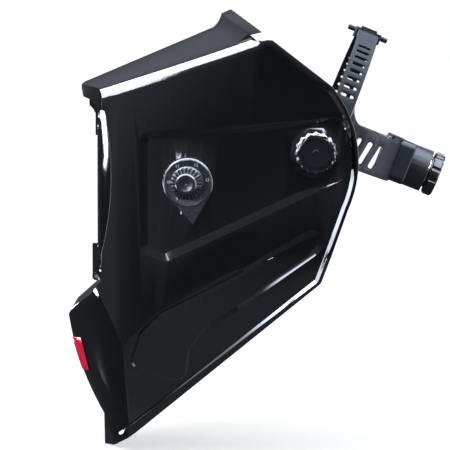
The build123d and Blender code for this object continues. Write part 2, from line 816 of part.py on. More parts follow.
def make_filter_housing_rear():
    start = cartridge_front_y + cartridge_front_depth + 0.1
    depth = cartridge_back_y - start
    housing = front_plate(cartridge_width, cartridge_height, 3.0, start, depth)
    housing -= view_plate(0, start, depth)
    housing -= view_plate(inner_lens_border + seat_gap, cartridge_back_y - inner_lens_thickness,
                          form_reach, 2.0)
    low = window_centre_z - cartridge_height / 2
    housing -= block((-cartridge_width / 2 + 3, tray_x - tray_width / 2 - 3),
                     (start, cartridge_back_y - cartridge_wall), (low + 3.0, low + 3.0 + board_height + 1.0))
    z = window_centre_z - control_drop
    for x in (sensitivity_x, delay_x):
        housing -= rear_disc(x, z, dial_knob_stem + running_gap, start, depth)
    housing -= rear_disc(test_button_x, z, button_radius + running_gap, start, depth)
    housing -= block((mode_switch_x - 2.0, mode_switch_x + 2.0 + switch_travel), (start, cartridge_back_y),
                     (z - 1.1, z + 1.1))
    housing -= tray_notch(holder_gap)
    return housing - cable_socket_hole(cable_radius + running_gap)


def make_inner_cover_lens():
    return view_plate(inner_lens_border, cartridge_back_y - inner_lens_thickness + 0.05,
                      inner_lens_thickness, 1.8)


def make_circuit_board():
    low = window_centre_z - cartridge_height / 2 + 3.4
    start = cartridge_front_y + cartridge_front_depth + 0.3
    return block((-cartridge_width / 2 + 3.4, tray_x - tray_width / 2 - 3.4), (start, start + board_thickness),
                 (low, low + board_height))


def make_dial_knob(x):
    """Small knob of the sensitivity or the delay setting, with its stem."""
    z = window_centre_z - control_drop
    seat = cartridge_back_y + seat_gap
    stem_start = board_back_y + seat_gap
    knob = rear_disc(x, z, dial_knob_radius, seat, dial_knob_height)
    knob = chamfer(knob.edges().group_by(Axis.Y)[-1], 0.6)
    orbit = dial_knob_radius + 0.6
    turns = [2 * math.pi * step / dial_knob_grooves for step in range(dial_knob_grooves)]
    knob -= [rear_disc(x + orbit * math.cos(turn), z + orbit * math.sin(turn), 1.0, seat, dial_knob_height)
             for turn in turns]
    knob -= block((x - 0.5, x + 0.5), (seat + dial_knob_height - dial_knob_mark, seat + dial_knob_height + 1),
                  (z, z + dial_knob_radius))
    return knob + rear_disc(x, z, dial_knob_stem, stem_start, seat - stem_start + 1)


def make_test_button():
    z = window_centre_z - control_drop
    start = board_back_y + button_travel + seat_gap
    return rear_disc(test_button_x, z, button_radius, start, cartridge_back_y + button_stand - start)


def make_mode_switch():
    z = window_centre_z - control_drop
    stem = block((mode_switch_x - 1.8, mode_switch_x + 1.8), (board_back_y + seat_gap, cartridge_back_y + 1),
                 (z - 1.0, z + 1.0))
    cap = block((mode_switch_x - 3.0, mode_switch_x + 3.0),
                (cartridge_back_y + seat_gap, cartridge_back_y + 2.2), (z - 2.4, z + 2.4))
    return stem + cap


def make_battery_tray():
    low = window_centre_z - cartridge_height / 2
    across = (tray_x - tray_width / 2, tray_x + tray_width / 2)
    tray = block(across, (tray_front_y, tray_front_y + tray_depth), (low, low + tray_height))
    tray += block(across, (tray_front_y, tray_front_y + tray_depth), (low - holder_wall - 1.2, low))
    return tray - rear_disc(tray_x, low + tray_height / 2, cell_radius + 0.15, tray_front_y + 1.0, form_reach)


def make_coin_cell():
    low = window_centre_z - cartridge_height / 2
    cell = rear_disc(tray_x, low + tray_height / 2, cell_radius, tray_front_y + 1.1, cell_thickness)
    return chamfer(cell.edges(), 0.3)


# ---------------------------------------------------------------- shade dial

def make_dial_base():
    """Teardrop plate with a raised ring, the scale lies between ring and knob."""
    plate = extrude(teardrop(), amount=dial_plate)
    plate = chamfer(plate.faces().sort_by(Axis.Z)[-1].outer_wire().edges(), dial_bevel)
    plate = Pos(0, 0, seat_gap / 2) * plate
    outer = dial_radius - dial_ring_inset
    up = (Align.CENTER, Align.CENTER, Align.MIN)
    ring = Cylinder(outer, dial_ring_height, align=up) - Cylinder(outer - dial_ring_width, dial_ring_height, align=up)
    plate += Pos(0, 0, seat_gap / 2 + dial_plate) * ring
    plate -= Cylinder(bushing_radius + running_gap, 4 * dial_plate)
    return dial_plane() * plate


def make_potentiometer():
    """Body of the shade setting behind the shell wall, with its threaded bushing."""
    seat = -pot_seat_depth - seat_gap / 2
    body = Pos(0, 0, seat - pot_depth / 2) * Box(pot_size, pot_size, pot_depth)
    length = bushing_top - seat
    body += Pos(0, 0, seat + length / 2) * Cylinder(bushing_radius, length)
    bore = pot_shaft_radius + running_gap
    body -= Pos(0, 0, seat - 4.0) * Cylinder(bore, 60, align=(Align.CENTER, Align.CENTER, Align.MIN))
    return dial_plane() * body


def make_pot_nut():
    low = dial_plate + seat_gap
    nut = extrude(RegularPolygon(pot_nut_radius, 6), amount=pot_nut_height)
    nut -= Cylinder(bushing_radius + running_gap, 20)
    return dial_plane(low) * nut


def make_pot_shaft():
    low = -pot_seat_depth - 3.8
    top = dial_plate + knob_height - shaft_cover
    up = (Align.CENTER, Align.CENTER, Align.MIN)
    return dial_plane(low) * Cylinder(pot_shaft_radius, top - low, align=up)


def make_shade_knob():
    low = dial_plate + frame_gap
    skirt = knob_skirt_height
    up = (Align.CENTER, Align.CENTER, Align.MIN)
    profile = make_face(Polyline(
        (0, low), (knob_skirt_radius, low), (knob_skirt_radius, low + skirt),
        (knob_skirt_radius - 1.6, low + skirt + 0.6), (knob_face_radius, low + knob_height - 1.0),
        (knob_face_radius - 1.0, low + knob_height), (0, low + knob_height), (0, low)))
    knob = revolve(Plane.XZ * profile, Axis.Z)
    fin_length = knob_skirt_radius - 0.6 - knob_face_radius + 1.0
    fins = []
    for step in range(knob_ribs):
        place = Rot(Z=step * 360 / knob_ribs) * Pos(knob_skirt_radius - 0.6 - fin_length / 2, 0, low + skirt)
        fins.append(place * Box(fin_length, knob_rib_width, knob_height - skirt - 1.2, align=up))
    knob += fins
    rise = math.sqrt(knob_dimple_sphere ** 2 - knob_dimple_radius ** 2)
    knob -= Pos(0, 0, low + knob_height + rise) * Sphere(knob_dimple_sphere)
    hollow = pot_nut_radius * 1.2
    knob -= Pos(0, 0, low) * Cylinder(hollow, pot_nut_height + 2.2, align=up)
    top = dial_plate + knob_height - shaft_cover
    knob -= Pos(0, 0, low) * Cylinder(pot_shaft_radius + running_gap, top - low + 0.1, align=up)
    return dial_plane() * knob


def cable_points():
    """Route of the dial's cable along the inside of the wall to the cartridge."""
    place = dial_plane()
    depth = -pot_seat_depth - pot_depth / 2
    return [
        place.from_local_coords(Vector(-pot_size / 2 - running_gap, 0, depth)),
        place.from_local_coords(Vector(-pot_size, 0, depth)),
        *cable_route,
        (cable_exit_x, cable_socket_y, cable_socket_z),
        (cartridge_width / 2 - cable_entry, cable_socket_y, cable_socket_z),
    ]


def cable_socket_hole(radius):
    plane = Plane(origin=(cartridge_width / 2 - 2 * cable_entry, cable_socket_y, cable_socket_z), z_dir=(1, 0, 0))
    return plane * Cylinder(radius, 14.0, align=(Align.CENTER, Align.CENTER, Align.MIN))


def make_shade_cable():
    points = [Vector(point) for point in cable_points()]
    radii = []
    for index in range(1, len(points) - 1):
        before = points[index] - points[index - 1]
        after = points[index + 1] - points[index]
        half_turn = math.radians(before.get_angle(after)) / 2
        radii.append(0.45 * min(before.length, after.length) / math.tan(half_turn))
    path = FilletPolyline(*points, radius=radii)
    section = Plane(origin=path @ 0, z_dir=path % 0) * Circle(cable_radius)
    return sweep(section, path=path)


def make_cable_clips():
    """Two clips that hold the cable to the wall."""
    clips = []
    points = [Vector(point) for point in cable_points()]
    for near, far in ((1, 2), (2, 3)):
        middle = (points[near] + points[far]) / 2
        along = (points[far] - points[near]).normalized()
        outward = (Vector(1, -0.35, 0) - along * Vector(1, -0.35, 0).dot(along)).normalized()
        plane = Plane(origin=middle, x_dir=outward, z_dir=along)
        clip = Cylinder(cable_radius + clip_wall, clip_width)
        clip += Pos(clip_reach / 2, 0, 0) * Box(clip_reach, clip_height, clip_width)
        clip -= Cylinder(cable_radius + running_gap, 2 * clip_width)
        clips.append((plane * clip) - wall_clearance())
    return Compound(clips)


def wall_clearance():
    """Everything outside the shell's inner face, with the seat gap."""
    outside = block((0, 160), (-220, 60), (-160, 100))
    inner = form(shell_wall + seat_gap / 2)
    return outside - (inner - relief_cut(shell_wall + seat_gap / 2))


def make_chin_badge():
    """Plain red plate on the bow of the chin, wrapped round its corners."""
    plate = form_chin(-badge_stand) - form_chin(-badge_seat)
    return plate & block((-badge_half_width, badge_half_width), (-form_reach, chin_end_y), (badge_low, badge_high))


# ---------------------------------------------------------------- pivots

def make_tension_knob():
    """Scalloped ring knob on the outside of a pivot."""
    start = pivot_outer_x + seat_gap / 2
    knob = side_disc(tension_knob_radius, start, start + tension_knob_height)
    knob = chamfer(knob.edges().group_by(Axis.X)[-1], tension_bevel)
    lobes = []
    orbit = tension_knob_radius + tension_lobe_reach
    for step in range(tension_knob_lobes):
        turn = 2 * math.pi * (step + 0.5) / tension_knob_lobes
        lobes.append(side_disc(tension_lobe_radius, start, start + tension_knob_height + 1,
                               orbit * math.cos(turn), orbit * math.sin(turn)))
    knob -= lobes
    floor = start + tension_knob_height - tension_recess_depth
    knob -= side_disc(tension_recess_radius, floor, start + tension_knob_height)
    return knob - side_disc(bolt_radius + running_gap, 0, form_reach)


def make_tension_nut():
    floor = pivot_outer_x + seat_gap / 2 + tension_knob_height - tension_recess_depth
    plane = Plane(origin=(floor + 0.05, 0, 0), z_dir=(1, 0, 0))
    nut = plane * extrude(RegularPolygon(bolt_radius * nut_share, 6), amount=nut_thickness)
    return nut - side_disc(bolt_radius + running_gap, 0, form_reach)


def make_knob_cap():
    floor = pivot_outer_x + seat_gap / 2 + tension_knob_height - tension_recess_depth
    low = floor + nut_thickness + seat_gap
    cap = side_disc(tension_recess_radius - 0.1, low, low + cap_thickness)
    return cap + side_disc(cap_boss_radius, low, low + cap_thickness + cap_boss_rise)


def make_pivot_bolt():
    head_top = arm_inner_x - seat_gap
    bolt = side_disc(bolt_head_radius, head_top - bolt_head_thick, head_top)
    end = pivot_outer_x + tension_knob_height - tension_recess_depth + nut_thickness
    return bolt + side_disc(bolt_radius, head_top, end)


def make_friction_washer():
    start = pivot_inner_x - washer_thickness - 0.05
    return side_disc(washer_radius, start, start + washer_thickness) - side_disc(
        bolt_radius + running_gap, 0, form_reach)


def make_tilt_limiter():
    """Disc with a curved slot: the shell's peg runs in it between down and raised."""
    end = pivot_inner_x - washer_thickness - 0.1
    disc = side_disc(limiter_radius, end - limiter_thickness, end)
    disc -= side_disc(bolt_radius + running_gap, 0, form_reach)
    slot_half = limiter_peg_radius + 0.2
    start = limiter_peg_angle
    stop = limiter_peg_angle - raise_angle
    plane = Plane(origin=(0, 0, 0), x_dir=(0, 1, 0), z_dir=(1, 0, 0))
    ring = Cylinder(limiter_peg_orbit + slot_half, form_reach)
    ring -= Cylinder(limiter_peg_orbit - slot_half, form_reach)
    reach = 2 * limiter_radius
    points = [(0, 0)]
    for step in range(5):
        turn = math.radians(stop + (start - stop) * step / 4)
        points.append((reach * math.cos(turn), reach * math.sin(turn)))
    wedge = extrude(make_face(Polyline(*points, (0, 0))), amount=form_reach / 2, both=True)
    slot = ring & wedge
    for angle in (start, stop):
        turn = math.radians(angle)
        slot += Pos(limiter_peg_orbit * math.cos(turn), limiter_peg_orbit * math.sin(turn), 0) * Cylinder(
            slot_half, form_reach)
    return disc - plane * slot


# ---------------------------------------------------------------- headgear

def oval_point(offset, station):
    """Half width of the oval at a fore and aft station."""
    length = hoop_half_length + offset
    return (hoop_half_width + offset) * math.sqrt(1 - ((station - hoop_centre) / length) ** 2)


def make_side_arm():
    """Bracket from the headband out to the pivot, with the fore and aft slot."""
    outer = arm_inner_x + arm_thickness / 2
    skin = rear_layer + band_thickness - 0.1
    foot, knee, leave = arm_bend_front
    meet, knuckle, end = arm_bend_rear
    path = Polyline(
        (oval_point(skin, foot) + arm_stand_front, foot), (oval_point(skin, knee) + arm_stand_front, knee),
        (outer, leave), (outer, meet),
        (oval_point(skin, knuckle) + arm_stand_rear, knuckle), (oval_point(skin, end) + arm_stand_rear, end))
    strip = trace(path, line_width=arm_thickness)
    arm = Pos(0, 0, arm_low) * extrude(strip, amount=arm_high - arm_low)
    arm -= hoop(rear_layer + band_thickness + band_layer_gap)
    slot = SlotCenterToCenter(slide_travel, 2 * (bolt_radius + 0.1))
    plane = Plane(origin=(arm_inner_x, -slide_travel / 2, 0), x_dir=(0, 1, 0), z_dir=(1, 0, 0))
    arm -= plane * extrude(slot, amount=3 * arm_thickness, both=True)
    return arm - [rivet_bore(arm_front_rivet), rivet_bore(arm_rear_rivet)]


def band_normal_plane(station, height):
    """Plane on the oval whose z runs outward across the band."""
    x = oval_point(0, station)
    slope = Vector(x / hoop_half_width ** 2, (station - hoop_centre) / hoop_half_length ** 2, 0)
    return Plane(origin=(x, station, height), z_dir=slope.normalized())


def rivet_bore(station):
    return band_normal_plane(station, rivet_height) * Cylinder(rivet_radius + running_gap, 30)


def rivet(station, low, high):
    """A rivet across the band between two offsets of the oval."""
    length = high - low
    up = (Align.CENTER, Align.CENTER, Align.MIN)
    body = Pos(0, 0, low) * Cylinder(rivet_radius, length, align=up)
    body += Pos(0, 0, low - rivet_head_height) * Cylinder(rivet_head_radius, rivet_head_height, align=up)
    body += Pos(0, 0, high) * Cylinder(rivet_head_radius, rivet_head_height, align=up)
    return band_normal_plane(station, rivet_height) * body


def make_band_rivets():
    """Rivets of the arms and of the crown strap's feet."""
    arm_face = rear_layer + band_thickness + arm_thickness + rivet_clear
    rivets = [
        rivet(arm_front_rivet, -rivet_clear, arm_face),
        rivet(arm_rear_rivet, rear_layer - rivet_clear, arm_face),
        rivet(strap_rivet, foot_offset - rivet_clear, rear_layer + band_thickness + rivet_clear),
    ]
    rivets += [mirrored(one) for one in rivets]
    return Compound([headgear(one) for one in rivets])


def make_headband_front():
    band = hoop_ring(0, band_thickness, front_band_low, front_band_high)
    band &= block((-120, 120), (-200, front_band_rear), (-60, 120))
    return band - [rivet_bore(arm_front_rivet), mirrored(rivet_bore(arm_front_rivet))]


def rack_teeth(pitch_height, side, first):
    """Teeth cut in a tongue: notches along X at the pinion's pitch."""
    cuts = []
    tip = pitch_height + side * tooth_depth * 0.55
    base = pitch_height - side * (tooth_depth * 0.5 + 0.4)
    for step in range(-rack_steps, rack_steps + 1):
        x = first + step * tooth_pitch
        notch = make_face(Polyline(
            (x - tooth_half_foot, base), (x + tooth_half_foot, base), (x + tooth_half_tip, tip),
            (x - tooth_half_tip, tip), (x - tooth_half_foot, base)))
        cuts.append(Plane.XZ * extrude(notch, amount=form_reach, both=True))
    return cuts


def make_headband_rear(slot_stations=band_slots, height=slot_height):
    """Left rear band with its slots and the upper rack tongue."""
    ring = hoop_ring(rear_layer, rear_layer + band_thickness - 0.2, rear_band_low, rear_band_high)
    band = ring & block((tongue_start_x, 120), (rear_band_front, 120), (-60, 120))
    near = strap_high + seat_gap
    web = hoop_ring(rear_layer, rear_layer + band_thickness - 0.2, rear_band_high - 1, rear_band_high + web_height)
    web &= block((0, 120), (near, near + web_height), (-60, 120))
    web -= side_disc(web_height, 0, form_reach, near + web_height, rear_band_high + web_height)
    band += web
    for station in slot_stations:
        slot = Rot(Z=-band_slot_lean) * SlotOverall(band_slot_length, band_slot_width, rotation=90)
        plane = Plane(origin=(0, station, height), x_dir=(0, 1, 0), z_dir=(1, 0, 0))
        band -= plane * extrude(slot, amount=form_reach)
    pitch = ratchet_centre + pinion_pitch_radius
    tongue = hoop_ring(rear_layer, rear_layer + band_thickness - 0.2, pitch - tooth_depth * 0.5,
                       pitch - tooth_depth * 0.5 + tongue_height)
    tongue &= block((-tongue_length, tongue_start_x + 1), (0, 120), (-60, 120))
    tongue -= rack_teeth(pitch, 1, 0.0)
    band += tongue
    return band - [rivet_bore(station) for station in (arm_front_rivet, arm_rear_rivet, strap_rivet)]


def make_headband_rear_right():
    """Right rear band: the same moulding turned so that its rack lies below the pinion."""
    ring = hoop_ring(rear_layer, rear_layer + band_thickness - 0.2, rear_band_low, rear_band_high)
    whole = mirrored(make_headband_rear(band_slots_right, slot_height_right))
    band = whole & block((-120, -tongue_start_x), (-120, 120), (-60, 120))
    pitch = ratchet_centre - pinion_pitch_radius
    tongue = ring & block((-tongue_start_x - 1, tongue_length), (0, 120),
                          (pitch + tooth_depth * 0.5 - tongue_height, pitch + tooth_depth * 0.5))
    tongue -= rack_teeth(pitch, -1, tooth_pitch / 2)
    return band + tongue


def strap_ring(layer):
    """Arch of a crown strap over the head."""
    drop = layer * (strap_thickness + band_layer_gap)
    outer = Ellipse(strap_half_width + strap_thickness - drop, strap_top - strap_base + strap_thickness - drop)
    inner = Ellipse(strap_half_width - drop, strap_top - strap_base - drop)
    plane = Plane(origin=(0, strap_low, strap_base), x_dir=(1, 0, 0), z_dir=(0, -1, 0))
    return plane * extrude(outer - inner, amount=-(strap_high - strap_low))


def strap_slots(layer):
    """Adjustment slots along the arch."""
    cuts = []
    wide = strap_half_width - layer * strap_thickness
    tall = strap_top - strap_base - layer * strap_thickness
    for step in range(strap_slot_count):
        turn = math.radians(strap_first_slot + step * strap_slot_pitch)
        place = Pos(wide * math.sin(turn), (strap_low + strap_high) / 2, strap_base + tall * math.cos(turn))
        lean = math.degrees(math.atan2(tall * math.sin(turn), wide * math.cos(turn)))
        slot = SlotOverall(strap_slot_length, strap_slot_width, rotation=90)
        cuts.append(place * Rot(Y=lean) * extrude(slot, amount=8, both=True))
    return cuts


def make_crown_strap(layer):
    """One half of the crown strap, from its band up past the crown."""
    strap = strap_ring(layer) & block((-strap_overlap, 120), (-60, 60), (rear_band_high + 0.3, 140))
    strap -= strap_slots(layer)
    foot = hoop_ring(foot_offset, rear_layer - 0.1, strap_foot, rear_band_high + strap_thickness * 3)
    foot &= block((0, 120), (strap_low + 0.4, strap_high), (-60, 120))
    return strap + foot - rivet_bore(strap_rivet)


def make_crown_buckle():
    """Sleeve that joins both crown straps, with a peg at each side and a grip bar."""
    inner_low = strap_top - 2 * strap_thickness - buckle_gap
    inner_high = strap_top + strap_thickness + buckle_gap
    low = inner_low - buckle_wall
    high = inner_high + buckle_wall
    buckle = block((-buckle_half_length, buckle_half_length),
                   (strap_low - buckle_side, strap_high + buckle_side), (low, high))
    buckle = fillet(buckle.edges().filter_by(Axis.Z), 1.5)
    middle = (strap_low + strap_high) / 2
    gap = block((-strap_overlap, strap_overlap), (strap_low - frame_gap, strap_high + frame_gap),
                (inner_low, inner_high))
    buckle -= gap
    buckle += block((-cap_boss_radius, cap_boss_radius),
                    (middle - buckle_bar_half_length, middle + buckle_bar_half_length),
                    (high - 0.5, high + buckle_bar_rise))
    for start in (strap_low - buckle_peg_length - 1.0, strap_high + 1.0):
        plane = Plane(origin=(0, start, high - 2.6), z_dir=(0, 1, 0))
        buckle += plane * Cylinder(buckle_peg_radius, buckle_peg_length,
                                   align=(Align.CENTER, Align.CENTER, Align.MIN))
    return buckle - gap


def pad_channel(x, side, thickness):
    """A stitched channel down the inner face of a pad; side is -1 in front and 1 behind."""
    share = x / (hoop_half_width - thickness)
    reach = (hoop_half_length - thickness - pad_gap) * math.sqrt(1 - share ** 2)
    middle = (rear_band_low + rear_band_high) / 2
    return Pos(x, hoop_centre + side * (reach - 0.4), middle) * Cylinder(channel_radius, 60)


def make_sweatband():
    """Forehead cushion with a crowned inner face and stitched channels."""
    pad = hoop_ring(-pad_gap - sweatband_thickness, -pad_gap, sweatband_low, sweatband_high)
    pad &= block((-120, 120), (-200, sweatband_rear), (-60, 120))
    edges = [edge for edge in pad.edges() if edge.length > hoop_half_width / 2]
    pad = fillet(edges, sweatband_round)
    return pad - [pad_channel(x, -1, sweatband_thickness) for x in sweatband_channels]


def make_rear_cradle():
    """Inner cover of the ratchet, against the back of the head."""
    cradle = hoop_ring(0, band_thickness, rear_band_low + 0.5, rear_band_high + cradle_rise)
    return cradle & block((-cradle_half_width, cradle_half_width), (0, 120), (-60, 120))


def make_rear_pad():
    """Cushion on the rear cradle."""
    pad = hoop_ring(-pad_gap - rear_pad_thickness, -pad_gap, rear_band_low + 3.0, rear_band_high + 1.0)
    pad &= block((-rear_pad_half_width, rear_pad_half_width), (0, 120), (-60, 120))
    lying = pad.edges() - pad.edges().filter_by(Axis.Z)
    edges = [edge for edge in lying if edge.length > rear_pad_half_width / 2]
    pad = fillet(edges, rear_pad_round)
    return pad - [pad_channel(x, 1, rear_pad_thickness) for x in rear_pad_channels]


def ratchet_disc(radius, start, end):
    plane = Plane(origin=(0, start, ratchet_centre), z_dir=(0, 1, 0))
    return plane * Cylinder(radius, end - start, align=(Align.CENTER, Align.CENTER, Align.MIN))


def make_ratchet_housing():
    half = ratchet_height / 2
    body = block((-ratchet_half_width, ratchet_half_width), (30, ratchet_box_end),
                 (ratchet_centre - half, ratchet_centre + half))
    body = fillet(body.edges().filter_by(Axis.Y), ratchet_round)
    body = chamfer(body.edges().group_by(Axis.Y)[-1], 1.0)
    body += ratchet_disc(half, ratchet_box_end - 2, ratchet_barrel_end)
    body -= hoop(rear_layer + band_thickness)
    body -= ratchet_disc(pinion_pitch_radius + tooth_depth, 40, pinion_end + seat_gap)
    return body - ratchet_disc(ratchet_shaft_radius + running_gap, 40, 120)


def make_ratchet_pinion():
    """Toothed pinion and the shaft that carries the knob."""
    start = hoop_centre + hoop_half_length + band_thickness + seat_gap
    root = pinion_pitch_radius - tooth_depth * 0.5 - 0.1
    pinion = ratchet_disc(root, start, pinion_end)
    teeth = []
    tip = pinion_pitch_radius + tooth_depth * 0.45
    plane = Plane(origin=(0, start, ratchet_centre), x_dir=(1, 0, 0), z_dir=(0, 1, 0))
    for step in range(pinion_teeth):
        tooth = make_face(Polyline(
            (-pinion_half_foot, root - 0.5), (-pinion_half_tip, tip), (pinion_half_tip, tip),
            (pinion_half_foot, root - 0.5), (-pinion_half_foot, root - 0.5)))
        turn = Rot(Z=180 + step * 360 / pinion_teeth)
        teeth.append(plane * turn * extrude(tooth, amount=pinion_end - start))
    pinion += teeth
    return pinion + ratchet_disc(ratchet_shaft_radius, pinion_end - 1, knob_start + ratchet_knob_depth - 2.0)


def make_ratchet_knob():
    """Lobed knob at the back of the headgear."""
    knob = ratchet_disc(ratchet_knob_radius, knob_start, knob_start + ratchet_knob_depth)
    knob = chamfer(knob.edges(), 1.2)
    orbit = ratchet_knob_radius + ratchet_lobe_reach
    up = (Align.CENTER, Align.CENTER, Align.MIN)
    for step in range(ratchet_knob_lobes):
        turn = 2 * math.pi * (step + 0.5) / ratchet_knob_lobes
        place = (orbit * math.cos(turn), knob_start, ratchet_centre + orbit * math.sin(turn))
        knob -= Plane(origin=place, z_dir=(0, 1, 0)) * Cylinder(ratchet_lobe_radius, ratchet_knob_depth, align=up)
    knob += ratchet_disc(ratchet_neck_radius, ratchet_barrel_end + 0.8, knob_start + 1)
    return knob - ratchet_disc(ratchet_shaft_radius + running_gap, 80, knob_start + ratchet_knob_depth - ratchet_cover)


def make_detent_ring():
    """Spring washer between the housing and the knob."""
    ring = ratchet_disc(ratchet_neck_radius - 1.0, ratchet_barrel_end + 0.05, ratchet_barrel_end + 0.7)
    return ring - ratchet_disc(ratchet_shaft_radius + 0.4, 80, 120)


# ---------------------------------------------------------------- assembly

def shell_side_parts():
    return {
        "shell": make_shell,
        "lens_frame": make_lens_frame,
        "cover_lens": make_cover_lens,
        "frame_hinge_pins": make_frame_pins,
        "cartridge_holder": make_cartridge_holder,
        "holder_screws": make_holder_screws,
        "filter_housing_front": make_filter_housing_front,
        "filter_housing_rear": make_filter_housing_rear,
        "filter_glass": make_filter_glass,
        "solar_cell": make_solar_cell,
        "arc_sensors": make_arc_sensors,
        "inner_cover_lens": make_inner_cover_lens,
        "circuit_board": make_circuit_board,
        "sensitivity_knob": lambda: make_dial_knob(sensitivity_x),
        "delay_knob": lambda: make_dial_knob(delay_x),
        "test_button": make_test_button,
        "mode_switch": make_mode_switch,
        "battery_tray": make_battery_tray,
        "coin_cell": make_coin_cell,
        "dial_base": make_dial_base,
        "shade_knob": make_shade_knob,
        "shade_potentiometer": make_potentiometer,
        "potentiometer_nut": make_pot_nut,
        "potentiometer_shaft": make_pot_shaft,
        "shade_cable": make_shade_cable,
        "cable_clips": make_cable_clips,
        "chin_badge": make_chin_badge,
    }


def paired_parts():
    """Parts that both pivots have."""
    return {
        "tension_knob": make_tension_knob,
        "tension_nut": make_tension_nut,
        "knob_cap": make_knob_cap,
        "pivot_bolt": make_pivot_bolt,
        "friction_washer": make_friction_washer,
        "tilt_limiter": make_tilt_limiter,
    }


def headgear_parts():
    return {
        "side_arm_left": make_side_arm,
        "side_arm_right": lambda: mirrored(make_side_arm()),
        "headband_front": make_headband_front,
        "headband_rear_left": make_headband_rear,
        "headband_rear_right": make_headband_rear_right,
        "crown_strap_left": lambda: make_crown_strap(0),
        "crown_strap_right": lambda: mirrored(make_crown_strap(1)),
        "crown_buckle": make_crown_buckle,
        "sweatband": make_sweatband,
        "rear_cradle": make_rear_cradle,
        "rear_pad": make_rear_pad,
        "ratchet_housing": make_ratchet_housing,
        "ratchet_pinion": make_ratchet_pinion,
        "ratchet_knob": make_ratchet_knob,
        "detent_ring": make_detent_ring,
    }


os.makedirs("parts", exist_ok=True)
for name, make in shell_side_parts().items():
    export_step(make(), f"parts/{name}.step")
for name, make in paired_parts().items():
    piece = make()
    export_step(piece, f"parts/{name}_left.step")
    export_step(mirrored(piece), f"parts/{name}_right.step")
for name, make in headgear_parts().items():
    export_step(headgear(make()), f"parts/{name}.step")
export_step(make_band_rivets(), "parts/band_rivets.step")
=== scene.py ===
import bpy
import math
from mathutils import Matrix, Vector


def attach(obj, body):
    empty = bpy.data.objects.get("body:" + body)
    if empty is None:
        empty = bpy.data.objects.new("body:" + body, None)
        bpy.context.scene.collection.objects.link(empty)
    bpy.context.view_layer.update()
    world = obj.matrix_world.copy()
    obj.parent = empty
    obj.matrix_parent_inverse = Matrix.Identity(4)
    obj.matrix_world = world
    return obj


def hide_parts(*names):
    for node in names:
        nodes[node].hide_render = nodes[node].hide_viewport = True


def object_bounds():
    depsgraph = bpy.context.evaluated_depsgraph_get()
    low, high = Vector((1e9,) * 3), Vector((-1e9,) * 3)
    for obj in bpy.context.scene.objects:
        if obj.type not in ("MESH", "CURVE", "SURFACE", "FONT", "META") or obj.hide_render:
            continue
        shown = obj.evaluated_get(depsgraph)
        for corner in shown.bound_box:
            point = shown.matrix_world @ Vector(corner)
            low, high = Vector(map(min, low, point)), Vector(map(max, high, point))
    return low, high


# Auto-darkening welding helmet: gloss moulded shell, hinged cover-lens frame, filter
# cartridge, shade dial and ratchet headgear. Metres, the face looks along -Y, +X is the
# wearer's left, the origin is the middle of the side pivot axis.

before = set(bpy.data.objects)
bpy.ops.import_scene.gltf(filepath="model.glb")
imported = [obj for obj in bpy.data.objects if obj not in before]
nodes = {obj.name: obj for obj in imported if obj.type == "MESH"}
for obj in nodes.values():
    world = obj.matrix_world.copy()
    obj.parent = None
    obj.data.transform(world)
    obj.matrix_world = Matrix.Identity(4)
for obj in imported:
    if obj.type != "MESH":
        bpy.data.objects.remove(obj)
cad_low, cad_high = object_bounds()

MM = 0.001
WELD_DISTANCE = 0.00002         # vertices nearer than this are one, metres
FLAT_ANGLE = math.radians(0.4)  # faces flatter than this are one
SMOOTH_ANGLE = math.radians(32)
SUNK = 1.3                      # depth of the shell's sunken areas, millimetres
LAMP = 28.0                     # radiance of the long lamp over the near side


# ---------------------------------------------------------------- helpers

def linear(code):
    """An sRGB hex colour as linear light."""
    parts = [int(code[i:i + 2], 16) / 255 for i in (1, 3, 5)]
    return [p / 12.92 if p <= 0.04045 else ((p + 0.055) / 1.055) ** 2.4 for p in parts] + [1.0]


def add(tree, kind, inputs=None, **settings):
    """Adds a node with its settings, values and links."""
    made = tree.nodes.new(kind)
    for name, value in settings.items():
        setattr(made, name, value)
    for name, value in (inputs or {}).items():
        socket = made.inputs[name]
        if isinstance(value, bpy.types.NodeSocket):
            tree.links.new(value, socket)
        else:
            socket.default_value = value
    return made


def new_material(name, colour, roughness, **values):
    """A material with one surface shader."""
    material = bpy.data.materials.new(name)
    material.use_nodes = True
    surface = material.node_tree.nodes["Principled BSDF"]
    surface.inputs["Base Color"].default_value = linear(colour)
    surface.inputs["Roughness"].default_value = roughness
    for name, value in values.items():
        surface.inputs[name.replace("_", " ")].default_value = value
    return material, material.node_tree, surface


def place(tree):
    """Where a point lies on its piece, in metres."""
    return add(tree, "ShaderNodeTexCoord").outputs["Object"]


def deselect():
    for thing in bpy.context.selected_objects:
        thing.select_set(False)


def only(piece):
    """Makes one piece the selected and active one."""
    deselect()
    piece.select_set(True)
    bpy.context.view_layer.objects.active = piece


def apply_modifiers(piece):
    only(piece)
    for name in [modifier.name for modifier in piece.modifiers]:
        bpy.ops.object.modifier_apply(modifier=name)


def settle(piece):
    """Leaves a piece at the origin, its place in its mesh."""
    only(piece)
    bpy.ops.object.transform_apply(location=True, rotation=True, scale=True)


def dress(name, material):
    """Gives a CAD node its material."""
    piece = nodes[name]
    piece.data.materials.clear()
    piece.data.materials.append(material)


def separate_copy(name, new_name):
    """A copy of a CAD node with its own mesh, free to be reshaped."""
    piece = nodes[name].copy()
    piece.data = nodes[name].data.copy()
    piece.name = new_name
    bpy.context.scene.collection.objects.link(piece)
    piece.parent = None
    return piece


def weld_mesh(piece):
    """Joins the vertices of a tessellated mesh, and its flat faces."""
    only(piece)
    bpy.ops.object.mode_set(mode="EDIT")
    bpy.ops.mesh.select_all(action="SELECT")
    bpy.ops.mesh.remove_doubles(threshold=WELD_DISTANCE)
    bpy.ops.mesh.dissolve_limited(angle_limit=FLAT_ANGLE)
    bpy.ops.object.mode_set(mode="OBJECT")


